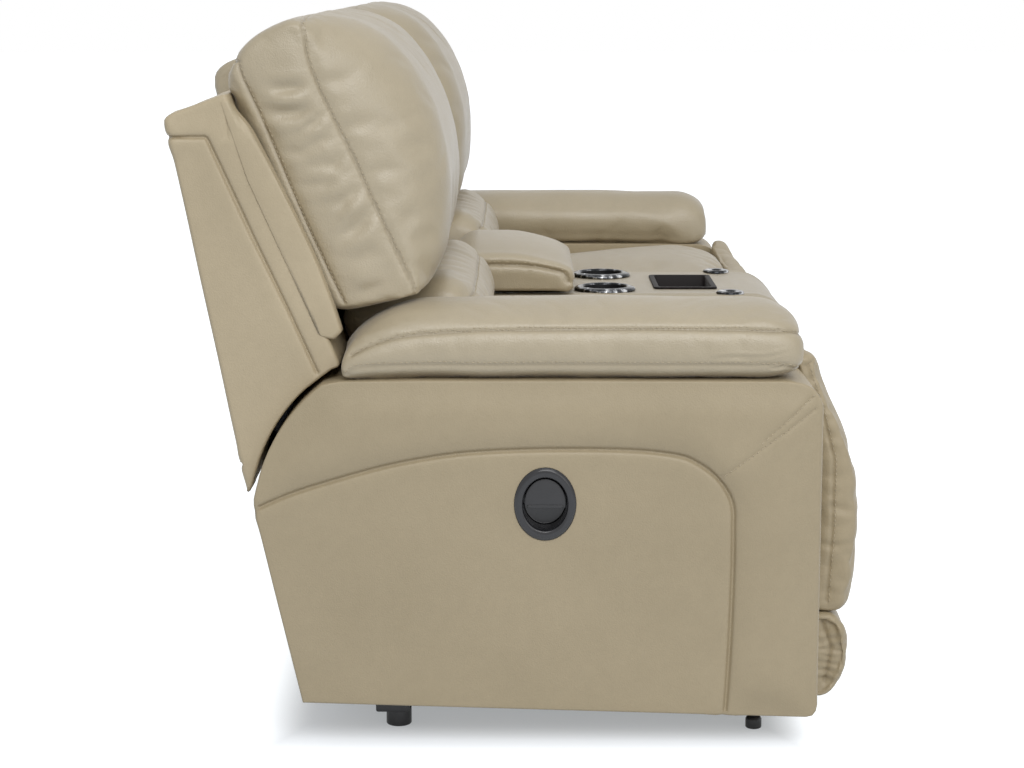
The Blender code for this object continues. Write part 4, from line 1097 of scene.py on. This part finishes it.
def dust_cover():
    """Dark cloth stapled under the back's lower curve, as a cover; it also closes the gap there, and its
    near-black colour is painted shade for that gap.
    """
    low, high = np.array([(0.385, 0.3718), (0.253, 0.5567)])
    along = (high - low) / np.linalg.norm(high - low)
    front = np.array([along[1], -along[0]]) * 0.0015
    run = np.linspace(0, 1, 24)[:, None]
    sag = np.sin(math.pi * run) * np.array([along[1], -along[0]]) * -0.004
    line = low + (high - low) * run + sag
    outline = np.vstack([line - front, (line + front)[::-1]])
    columns = [to3d(outline, x) for x in np.linspace(-0.771, -0.194, 40)]
    thing = ring_mesh("right_back_dust_cover", columns)
    pair(thing, "back_dust_cover", DUST_COVER_AND_GAP_SHADE, "cable_sheath", "back")


def hinge_bracket(word, side, index, x):
    """Steel arm of the back that turns on the base plate."""
    outline = rounded([
        (0.284, 0.352), (0.318, 0.356), (0.372, 0.455), (0.382, 0.5), (0.345, 0.505), (0.325, 0.47),
        (0.284, 0.385)], 0.012)
    outline = even(outline, count=60, closed=True)
    thing = bolster(f"{word}_back_bracket_{index + 1}", outline, x - 0.002, x + 0.002, 0.0005,
                    0.0005, roll_steps=2)
    dress(thing, STEEL, "black_steel", word + "_back")
    profile = [(0.0, 0.0075), (0.0085, 0.0075), (0.0095, 0.0065), (0.0095, -0.0075), (0.0, -0.0075)]
    pin = lathe(f"{word}_back_pin_{index + 1}", profile, 32)
    pin.data.transform(Matrix.Translation((x + (0.004 if x > side * SEAT_CENTRE else -0.004), 0.3, 0.37))
                       @ Matrix.Rotation(math.pi / 2, 4, "Y"))
    dress(pin, STEEL, "black_steel", word + "_back")


FRONT_SEAM = curved([
    (0.141, 0.652), (0.15, 0.676), (0.168, 0.715), (0.197, 0.778), (0.232, 0.856), (0.267, 0.927),
    (0.29, 0.983), (0.2975, 1.033)])
REAR_SEAM = curved([
    (0.3895, 0.985), (0.3835, 0.962), (0.373, 0.939), (0.355, 0.898), (0.321, 0.815), (0.287, 0.734),
    (0.256, 0.666), (0.244, 0.641)])

PILLOW_FOLDS = [
    ([(0.356, 0.943), (0.3163, 0.9462), (0.284, 0.952)], 0.0032, 0.0081),
    ([(0.362, 0.9106), (0.3239, 0.9106), (0.3027, 0.9134), (0.274, 0.921)], 0.0044, 0.0087),
    ([(0.305, 0.888), (0.2832, 0.8993), (0.262, 0.916)], 0.0025, 0.0062),
    ([(0.304, 0.86), (0.278, 0.8698), (0.255, 0.883)], 0.0027, 0.007),
    ([(0.2729, 0.8303), (0.2558, 0.8402), (0.243, 0.859)], 0.0019, 0.007),
    ([(0.264, 0.775), (0.2366, 0.7921), (0.213, 0.811)], 0.0038, 0.0084),
    ([(0.26, 0.729), (0.2257, 0.7509), (0.192, 0.784)], 0.0042, 0.0092),
    ([(0.256, 0.696), (0.2134, 0.7081), (0.174, 0.73)], 0.0023, 0.0098),
    ([(0.24, 0.654), (0.204, 0.6608), (0.168, 0.676)], 0.0025, 0.0084),
    ([(0.283, 0.947), (0.2599, 0.9567), (0.233, 0.959)], 0.0013, 0.0078),
    ([(0.26, 0.874), (0.2298, 0.8923), (0.196, 0.901)], 0.0012, 0.009),
    ([(0.216, 0.808), (0.1909, 0.8275), (0.16, 0.84)], 0.0011, 0.0096),
    ([(0.174, 0.734), (0.1461, 0.7637), (0.115, 0.788)], 0.0011, 0.0105),
    ([(0.337, 0.856), (0.3008, 0.8557), (0.27, 0.864)], 0.0017, 0.007),
    ([(0.313, 0.807), (0.2789, 0.8105), (0.25, 0.819)], 0.0019, 0.0078)]


def back_pillow():
    """Head and back pillow: side panels between two seams, and a domed front panel."""
    top = curved([
        (0.4065, 0.94), (0.4045, 0.958), (0.3965, 0.979), (0.384, 1.001), (0.365, 1.018), (0.34, 1.0315),
        (0.316, 1.0405), (0.2975, 1.0435)])
    dome = curved([
        (0.2975, 1.0435), (0.275, 1.0485), (0.245, 1.044), (0.205, 1.0285), (0.183, 1.013), (0.16, 0.987),
        (0.136, 0.9525), (0.11, 0.894), (0.0975, 0.83), (0.0955, 0.795), (0.096, 0.755), (0.1, 0.712),
        (0.111, 0.68), (0.135, 0.652)])
    under = curved([
        (0.135, 0.652), (0.165, 0.6445), (0.2, 0.638), (0.238, 0.63), (0.262, 0.632)])
    rear = np.array([
        (0.262, 0.632), (0.29, 0.66), (0.3605, 0.817), (0.3995, 0.934), (0.4065, 0.94)])
    counts = (34, 96, 22, 68)
    parts = [even(line, count=n + 1)[:-1] for line, n in zip((top, dome, under, rear), counts)]
    profile = np.vstack(parts)
    rim_top = curved([
        (0.3895, 0.985), (0.3795, 0.9965), (0.36, 1.011), (0.333, 1.025), (0.2975, 1.033)])
    rim_under = curved([(0.141, 0.652), (0.17, 0.646), (0.205, 0.642), (0.244, 0.641)])
    rims = [even(line, count=n + 1)[:-1] for line, n in
            zip((rim_top, FRONT_SEAM[::-1], rim_under, REAR_SEAM[::-1]), counts)]
    rim = np.vstack(rims)
    roll = np.concatenate([np.full(counts[0], 0.014), np.full(counts[1], 0.105),
                           np.full(counts[2], 0.015), np.full(counts[3], 0.03)])
    roll = eased(roll)
    outer, inner = -0.884, -0.1995
    thing = lofted("right_back_pillow_cover", profile,
                   ((outer, rim, roll, 0.0045), (inner, rim, roll, 0.0045)),
                   step=0.011, roll_steps=11, cap_step=0.008)
    front = np.vstack([to3d(FRONT_SEAM, outer), to3d([(0.2975, 1.0435)], outer + 0.014),
                       to3d([(0.2975, 1.0435)], inner - 0.014), to3d(FRONT_SEAM[::-1], inner)])
    back = np.vstack([to3d(REAR_SEAM[::-1], outer), to3d([(0.3965, 0.979)], outer + 0.022),
                      to3d([(0.3965, 0.979)], inner - 0.022), to3d(REAR_SEAM, inner)])
    across = np.array([(outer + 0.02, 0.135, 0.652), (inner - 0.02, 0.135, 0.652)])
    lines = [front, back, across]
    seams = sewn(thing, lines, 0.022, crisp=0.35)
    groove(thing, seams[:1], 0.0018, 0.0026, 0.0012, 0.014, shade=0.35)
    groove(thing, seams[1:], 0.0022, 0.0028, 0.0012, 0.014, shade=0.45)
    for end in (outer, inner):
        folds(thing, PILLOW_FOLDS, end)
    gathers(thing, seams[:1], 0.013, 0.016, 0.0004, 0.0035, seed=23)
    soft_noise(thing, 0.2, 0.0012, seed=4)
    pair(thing, "back_pillow_cover", LEATHER, "beige_leather", "back", ["back_pillow"], fill=0.8,
         seams=seams[:2])


def lumbar_pillow():
    profile = curved([
        (0.238, 0.622), (0.19, 0.636), (0.135, 0.652), (0.104, 0.66), (0.078, 0.65), (0.058, 0.634),
        (0.046, 0.613), (0.038, 0.593), (0.036, 0.568), (0.046, 0.545), (0.075, 0.532), (0.13, 0.529),
        (0.2, 0.531), (0.238, 0.536), (0.2445, 0.556), (0.252, 0.576), (0.26, 0.597),
        (0.256, 0.616)], closed=True)
    profile = even(profile, count=130, closed=True)
    thing = bolster("right_lumbar_cover", profile, -0.7625, -0.2, 0.034, 0.05, 0.004,
                    swell=0.002, step=0.011, roll_steps=9, cap_step=0.009)
    lines = [np.array([(-0.745, 0.06, 0.637), (-0.218, 0.06, 0.637)])]
    seams = sewn(thing, lines, 0.03, crisp=0.35)
    groove(thing, seams, 0.002, 0.003, 0.0012, 0.014)
    gathers(thing, seams, 0.034, 0.045, 0.0006, 0.01, seed=31)
    soft_noise(thing, 0.15, 0.001, seed=9)
    pair(thing, "lumbar_cover", LEATHER, "beige_leather", "back", ["lumbar_pillow"], fill=0.7,
         seams=seams)


# Seats

def seat_cushion():
    profile = curved([
        (0.236, 0.496), (0.15, 0.508), (0.04, 0.519), (-0.08, 0.532), (-0.2, 0.545), (-0.3, 0.5535),
        (-0.37, 0.5545), (-0.399, 0.546), (-0.413, 0.53), (-0.418, 0.505), (-0.419, 0.475), (-0.417, 0.443),
        (-0.409, 0.418), (-0.39, 0.4085), (-0.2, 0.4078), (0.05, 0.4078), (0.22, 0.409), (0.2435, 0.425),
        (0.246, 0.46)], closed=True)
    profile = even(profile, count=170, closed=True)
    high = smoothstep(0.43, 0.52, profile[:, 1])
    rim = profile.copy()
    rim[:, 1] -= 0.014 * high
    rim[:, 0] += np.where(profile[:, 0] < -0.38, 0.012, 0.0)
    roll = eased(0.016 + 0.022 * high)
    outer, inner = -0.7675, -0.1925
    thing = lofted("right_seat_cover", profile, ((outer, rim, roll, 0.0), (inner, rim, roll, 0.0)),
                   step=0.011, roll_steps=9, cap_step=0.01)
    co = coordinates(thing)
    co[:, 2] -= 0.36 * (co[:, 0] + SEAT_CENTRE) ** 2 * smoothstep(0.42, 0.52, co[:, 2])
    set_coordinates(thing, co)
    side = [(0.225, 0.456), (0.15, 0.468), (0.04, 0.479), (-0.08, 0.49), (-0.2, 0.501),
            (-0.3, 0.508), (-0.37, 0.508), (-0.396, 0.497)]
    loop = np.vstack([to3d(side, outer), to3d([(-0.417, 0.506)], outer + 0.04),
                      to3d([(-0.419, 0.512)], outer + 0.14), to3d([(-0.419, 0.512)], inner - 0.14),
                      to3d([(-0.417, 0.506)], inner - 0.04), to3d(side[::-1], inner)])
    seams = sewn(thing, [loop], 0.03, crisp=0.35)
    groove(thing, seams, 0.0028, 0.003, 0.0018, 0.014)
    gathers(thing, seams, 0.036, 0.05, 0.0012, 0.009, seed=41)
    soft_noise(thing, 0.2, 0.0014, seed=14)
    pair(thing, "seat_cover", LEATHER, "beige_leather", "seat", ["seat_cushion"], fill=0.75,
         seams=seams)


def footrest_pads():
    upper = curved([
        (-0.443, 0.39), (-0.443, 0.3), (-0.443, 0.2), (-0.446, 0.158), (-0.466, 0.15), (-0.49, 0.151),
        (-0.504, 0.164), (-0.5135, 0.206), (-0.5165, 0.27), (-0.5155, 0.325), (-0.507, 0.39),
        (-0.4885, 0.44), (-0.4625, 0.492), (-0.446, 0.533), (-0.435, 0.547), (-0.422, 0.5515),
        (-0.4125, 0.548), (-0.411, 0.54), (-0.4215, 0.518), (-0.424, 0.5), (-0.433, 0.476),
        (-0.443, 0.448)], closed=True)
    upper = even(upper, count=150, closed=True)
    outer, inner = -0.766, -0.194
    thing = bolster("right_footrest_upper_cover", upper, outer, inner, 0.011, 0.034, 0.002,
                    swell=0.001, step=0.011, roll_steps=9, cap_step=0.006)
    side = [
        (-0.47, 0.172), (-0.476, 0.28), (-0.476, 0.39), (-0.455, 0.47), (-0.434, 0.53)]
    lines = [to3d(side, outer), to3d(side, inner),
             np.array([(outer + 0.03, -0.5165, 0.345), (inner - 0.03, -0.5165, 0.345)])]
    seams = sewn(thing, lines, 0.035, growth=0.0, crisp=0.45)
    groove(thing, seams[:2], 0.001, 0.003, 0.0008, 0.012, shade=0.2)
    groove(thing, seams[2:], 0.0018, 0.0032, 0.0012, 0.012, shade=0.4)
    gathers(thing, seams[:2], 0.03, 0.05, 0.0016, 0.008, seed=51)
    soft_noise(thing, 0.16, 0.0012, seed=17)
    # Painted shade: this pad takes the darker panel leather, though its slot is beige leather, for the less
    # light that reaches it.
    pair(thing, "footrest_upper_cover", PANEL, "beige_leather", "footrest",
         ["footrest_upper_pad"], fill=0.75, seams=seams)

    lower = curved([
        (-0.443, 0.055), (-0.443, 0.095), (-0.443, 0.13), (-0.454, 0.149), (-0.476, 0.151), (-0.492, 0.142),
        (-0.502, 0.121), (-0.504, 0.095), (-0.4975, 0.061), (-0.484, 0.034), (-0.466, 0.019),
        (-0.45, 0.023)],
                   closed=True)
    lower = even(lower, count=110, closed=True)
    thing = bolster("right_footrest_lower_cover", lower, outer, inner, 0.0045, 0.016, 0.001,
                    swell=0.0005, step=0.009, roll_steps=8, cap_step=0.004)
    side = [(-0.464, 0.14), (-0.478, 0.1), (-0.47, 0.045)]
    lines = [to3d(side, outer), to3d(side, inner)]
    seams = sewn(thing, lines, 0.05, voxel=0.005, cap=0.012)
    groove(thing, seams, 0.0022, 0.0028, 0.0014, 0.01)
    gathers(thing, seams, 0.011, 0.034, 0.0019, 0.0042, seed=61)
    soft_noise(thing, 0.09, 0.001, seed=19)
    # Painted shade: this pad takes the darker panel leather, though its slot is beige leather, for the less
    # light that reaches it.
    pair(thing, "footrest_lower_cover", PANEL, "beige_leather", "footrest",
         ["footrest_lower_pad"], fill=0.7)


# Console

def lathe(name, profile, steps):
    """Turned piece about Z from (radius, height) points, closed where they meet the axis."""
    angle = np.linspace(0, 2 * math.pi, steps, endpoint=False)
    verts = [(r * math.cos(a), r * math.sin(a), z) for r, z in profile for a in angle]
    faces = [(k + i, k + (i + 1) % steps, k + steps + (i + 1) % steps, k + steps + i)
             for k in range(0, (len(profile) - 1) * steps, steps) for i in range(steps)]
    return new_object(name, verts, faces)


def fillet_profile(points, radius):
    """Turned profile with small rounds at its inner corners."""
    p = np.asarray(points, float)
    out = [p[0]]
    for corner, before, after in zip(p[1:-1], p[:-2] - p[1:-1], p[2:] - p[1:-1]):
        reach = min(radius, np.linalg.norm(before) * 0.45, np.linalg.norm(after) * 0.45)
        a = corner + before / np.linalg.norm(before) * reach
        b = corner + after / np.linalg.norm(after) * reach
        out += [(1 - t) ** 2 * a + 2 * t * (1 - t) * corner + t ** 2 * b for t in (0, 0.33, 0.67, 1)]
    return np.array([*out, p[-1]])


def turned(name, place, profile, round_off, steps, material, slot, *replaced):
    """Turned piece of the console, its heights counted from the deck."""
    made = lathe(name, fillet_profile([(r, DECK + z) for r, z in profile], round_off), steps)
    made.location = place
    dress(made, material, slot, ROOT, *replaced)


def console():
    nose = arc(NOSE, NOSE_RADIUS, 90, 180, 10)
    outline = np.vstack([[(0.249, 0.0875), (0.249, 0.556)], nose,
                         [(-0.4845, 0.2), (-0.466, 0.0875)]])
    outline = even(outline, count=220, closed=True)
    half = CONSOLE_HALF
    thing = bolster("console_upholstery", outline, -half, half, 0.01, 0.012, cap_step=0.014)
    run = np.vstack([[(0.12, DECK), (-0.3, DECK)], arc(NOSE, NOSE_RADIUS, 90, 180, 8),
                     [(-0.4845, 0.11)]])
    lines = [to3d(run, side * (half - 0.022)) for side in (-1, 1)]
    lines.append(np.array([(-half + 0.02, -0.4845, 0.43), (half - 0.02, -0.4845, 0.43)]))
    seams = laid(thing, lines)
    groove(thing, seams, 0.003, 0.0032, 0.0016, 0.012)
    cut_deck(thing)
    dress(thing, LEATHER, "beige_leather", ROOT, "console_body")
    threads = stitches("console_upholstery_stitching", thing, seams, 0.0042)
    fasten(threads, ROOT)


def cut_deck(thing):
    """Openings in the deck for the bin, the tray, the cups and the docks."""
    work = bmesh.new()
    add_block(work, (-0.125, -0.082, 0.36), (0.125, 0.035, 0.6))
    add_block(work, (-0.0833, -0.3503, 0.534), (0.0833, -0.2517, 0.6))
    above = 0.04
    for side in (-1, 1):
        for (x, y), radius, depth in ((CUP, 0.0453, 0.0755), (DOCK, 0.0163, 0.0305)):
            bmesh.ops.create_cone(
                work, cap_ends=True, segments=48, radius1=radius, radius2=radius, depth=depth + above,
                matrix=Matrix.Translation((side * x, y, DECK + (above - depth) / 2)))
    carve(thing, work)


def console_lid():
    y, z, radius = 0.066, 0.605, 0.0415
    front = -0.102
    upper = curved([
        (front + 0.0005, 0.585), (front + 0.001, 0.592), (-0.097, 0.608), (-0.083, 0.623), (-0.059, 0.633),
        (-0.025, 0.642), (0.007, 0.6462), (y, 0.6465)])
    outline = np.vstack([[(front + 0.01, 0.564), (front + 0.002, 0.57)], upper,
                         arc((y, z), radius, 85, -85, 14)])
    outline = even(outline, count=150, closed=True)
    half = 0.1825
    thing = bolster("console_lid_cover", outline, -half, half, 0.008, 0.016, 0.001, cap_step=0.007,
                    step=0.01)
    co = coordinates(thing)
    co[:, 2] -= 0.017 * (np.abs(co[:, 0]) / 0.17) ** 2.2 * smoothstep(0.585, 0.64, co[:, 2])
    set_coordinates(thing, co)
    side = curved([
        (0.09, 0.6105), (0.02, 0.611), (-0.03, 0.6085), (-0.06, 0.603), (-0.084, 0.596), (-0.093, 0.581)])
    lines = [to3d(side, -half), to3d(side, half),
             np.array([(-half + 0.01, -0.102, 0.58), (half - 0.01, -0.102, 0.58)])]
    seams = laid(thing, lines)
    groove(thing, seams, 0.0034, 0.0034, 0.002, 0.012)
    gathers(thing, seams[:2], 0.02, 0.024, 0.0008, 0.005, seed=71)
    work = bmesh.new()
    add_block(work, (-0.0258, 0.055, 0.5535), (0.0258, 0.125, 0.6165))
    carve(thing, work)
    dress(thing, LEATHER, "beige_leather", "console_lid", "console_lid", fill=0.8)
    threads = stitches("console_lid_stitching", thing, seams, -0.0042)
    fasten(threads, "console_lid")
    lug = even(np.vstack([[(y - 0.0098, 0.556), (y + 0.0098, 0.556)],
                          arc((y, z), 0.0098, 0, 180, 12)]), count=60, closed=True)
    post = bolster("console_hinge_lug", lug, -0.0245, 0.0245, 0.001, 0.001, roll_steps=2)
    dress(post, SATIN, "black_plastic", ROOT)


def console_back():
    outline = curved([
        (0.5085, 0.915), (0.506, 0.938), (0.484, 0.956), (0.45, 0.9645), (0.395, 0.9645), (0.345, 0.944),
        (0.3, 0.89), (0.255, 0.818), (0.215, 0.754), (0.16, 0.671), (0.1345, 0.62), (0.1295, 0.59),
        (0.13, 0.558)], per=8)
    outline = np.vstack([outline, [(0.251, 0.5575), (0.2515, 0.3915), (0.392, 0.3915)]])
    outline = even(outline, count=200, closed=True)
    half = CONSOLE_HALF
    thing = bolster("console_back_upholstery", outline, -half, half, 0.009, 0.012)
    run = [(0.496, 0.86), (0.504, 0.935), (0.484, 0.956), (0.395, 0.9645), (0.345, 0.944),
           (0.3, 0.89), (0.215, 0.754), (0.16, 0.671), (0.1345, 0.62), (0.13, 0.575)]
    lines = [to3d(run, side * (half - 0.022)) for side in (-1, 1)]
    lines.append(np.array([(-half + 0.02, 0.255, 0.818), (half - 0.02, 0.255, 0.818)]))
    seams = laid(thing, lines)
    groove(thing, seams, 0.003, 0.0034, 0.002, 0.014)
    soft_noise(thing, 0.16, 0.001, seed=33)
    dress(thing, LEATHER, "beige_leather", ROOT, "console_back", fill=0.8)
    threads = stitches("console_back_stitching", thing, seams, 0.0042)
    fasten(threads, ROOT)


def cups_and_docks():
    """Stainless flanges that stand on the deck, round dark wells."""
    for word, side in SIDES:
        cup, dock = (side * CUP[0], CUP[1], 0), (side * DOCK[0], DOCK[1], 0)
        turned(word + "_cup", cup,
               [(0.0377, -0.006), (0.0534, 0.0002), (0.0541, 0.0012), (0.0538, 0.0034),
                (0.0518, 0.0058), (0.048, 0.007), (0.0434, 0.008), (0.0402, 0.0072),
                (0.0384, 0.0052), (0.0377, 0.002), (0.0377, -0.006)],
               0.001, 96, PAINTED_REFLECTION_TRIM, "chrome", word + "_cup_holder")
        turned(word + "_cup_well", cup,
               [(0, -0.0725), (0.0355, -0.0725), (0.0368, -0.0695), (0.0375, 0.005), (0.038, 0.005),
                (0.038, -0.0055), (0.045, -0.0055), (0.045, -0.075), (0, -0.075)],
               0.001, 96, WELL, "black_plastic")
        turned(word + "_cup_mat", cup,
               [(0, -0.0719), (0.034, -0.0719), (0.0345, -0.0703), (0.032, -0.0699), (0, -0.0699)],
               0.0004, 48, RUBBER, "cable_sheath")
        turned(word + "_dock", dock,
               [(0, -0.027), (0.0088, -0.027), (0.009, 0.003), (0.0105, 0.0047), (0.019, 0.0055),
                (0.0232, 0.0043), (0.0247, 0.0004), (0.016, 0.0004), (0.016, -0.03), (0, -0.03)],
               0.0008, 64, PAINTED_REFLECTION_TRIM, "chrome", word + "_accessory_dock")


def tray():
    wide, deep, centre = 0.09, 0.056, -0.301
    top = DECK + 0.0033
    rings = []
    for inset, height, corner in (
        (0.0072, DECK - 0.0218, 0.006), (0.0072, DECK + 0.0004, 0.006), (0, DECK + 0.0004, 0.01),
        (0.0002, top - 0.0008, 0.01), (0.001, top, 0.01), (0.0085, top, 0.008),
        (0.0098, top - 0.0012, 0.008), (0.0108, DECK - 0.018, 0.006), (0.014, DECK - 0.0188, 0.005)):
        x, y = wide - inset, deep - inset
        loop = rounded([(-x, centre - y), (x, centre - y), (x, centre + y), (-x, centre + y)],
                       corner, 5)
        rings.append(np.column_stack([loop, np.full(len(loop), height)]))
    thing = ring_mesh("console_tray_moulding", rings)
    dress(thing, TRAY, "black_tray", ROOT, "console_tray")


def latch():
    """Oval cup, its rolled bezel and the finger paddle across its upper half."""
    y, z = LATCH
    profile = fillet_profile([
        (0.0, -0.0388), (0.031, -0.0388), (0.0315, -0.036), (0.0317, 0.0005), (0.033, 0.0035),
        (0.037, 0.0045), (0.041, 0.0039), (0.044, 0.0012), (0.0445, 0.0003), (0.0345, 0.0003),
        (0.0345, -0.0415), (0.0, -0.0415)], 0.0012)
    cup = lathe("right_latch_cup", profile, 96)
    cup.data.transform(Matrix.Translation((-0.95, y, z)) @ Matrix.Diagonal((1, 1, TALLER, 1))
                       @ Matrix.Rotation(-math.pi / 2, 4, "Y"))
    pair(cup, "latch_cup", GLOSS, "black_plastic", ROOT, ["latch_bezel"])
    inner = 0.0298
    start = math.degrees(math.asin(-0.0066 / inner / TALLER))
    ring = arc((0, 0), inner, start, 180 - start, 40) * (1, TALLER) + LATCH
    ring = even(ring, count=90, closed=True)
    plate = lofted("right_latch_handle", ring, ((-0.9463, shrunk(ring, 0.001), 0.0012, 0.0014),
                                                (-0.9405, shrunk(ring, 0.0006), 0.0008, 0.0)),
                   roll_steps=3, cap_step=0.002, step=0.004)
    lip = even(rounded([
        (y - 0.0252, 0.3556), (y + 0.0252, 0.3556), (y + 0.0262, 0.3598),
        (y - 0.0262, 0.3598)], 0.0016), count=60, closed=True)
    rail = bolster("right_latch_lip", lip, -0.948, -0.9345, 0.0007, 0.0008, roll_steps=3,
                   cap_step=0.001, step=0.004)
    pair(plate, "latch_handle", SATIN, "black_plastic", "latch", ["latch_paddle"])
    pair(rail, "latch_lip", SATIN, "black_plastic", "latch")


def glides():
    """Turned front feet and moulded rear blocks with their round feet."""
    foot = fillet_profile([
        (0, 0.0), (0.0105, 0.0), (0.012, 0.0016), (0.012, 0.014), (0.01, 0.0172), (0.0066, 0.019),
        (0.0066, 0.0474), (0, 0.0474)],
                          0.001)
    front = lathe("right_front_foot", foot, 64)
    front.data.transform(Matrix.Translation((-0.85, -0.3545, 0)))
    pair(front, "front_foot", SATIN, "black_plastic", ROOT, ["front_glide"])
    block = rounded([(0.1562, 0.0262), (0.2058, 0.0262), (0.2058, 0.0618), (0.1562, 0.06)],
                    0.003, 4)
    block = even(block, count=80, closed=True)
    rear = bolster("right_rear_foot", block, -0.8598, -0.8002, 0.0015, 0.0018, cap_step=0.006,
                   roll_steps=3)
    pad = lathe("rear_pad", fillet_profile([
        (0, 0.0), (0.0172, 0.0), (0.0188, 0.0016), (0.0188, 0.0262), (0, 0.0262)], 0.001), 64)
    pad.data.transform(Matrix.Translation((-0.83, 0.173, 0)))
    work = opened(rear)
    work.from_mesh(pad.data)
    store(work, rear)
    bpy.data.objects.remove(pad)
    pair(rear, "rear_foot", SATIN, "black_plastic", ROOT, ["rear_glide"])


def carried_over():
    """Procedural finishes of the solids that show as they are."""
    looks = {"black_steel": STEEL, "plywood": TIMBER, "black_plastic": SATIN, "chrome": CHROME,
             "black_tray": TRAY, "cable_sheath": RUBBER, "beige_leather": LEATHER,
             "panel_leather": PANEL}
    slots = {row["node"]: row["material_slot"] for row in frame["record"]["subparts"]}
    for name, thing in frame["nodes"].items():
        for place in thing.material_slots:
            place.material = looks[slots[name]]


camera()
surroundings()
carried_over()
arm_body()
arm_pillow()
back_frame()
back_pillow()
lumbar_pillow()
seat_cushion()
footrest_pads()
console()
console_lid()
console_back()
cups_and_docks()
tray()
latch()
glides()
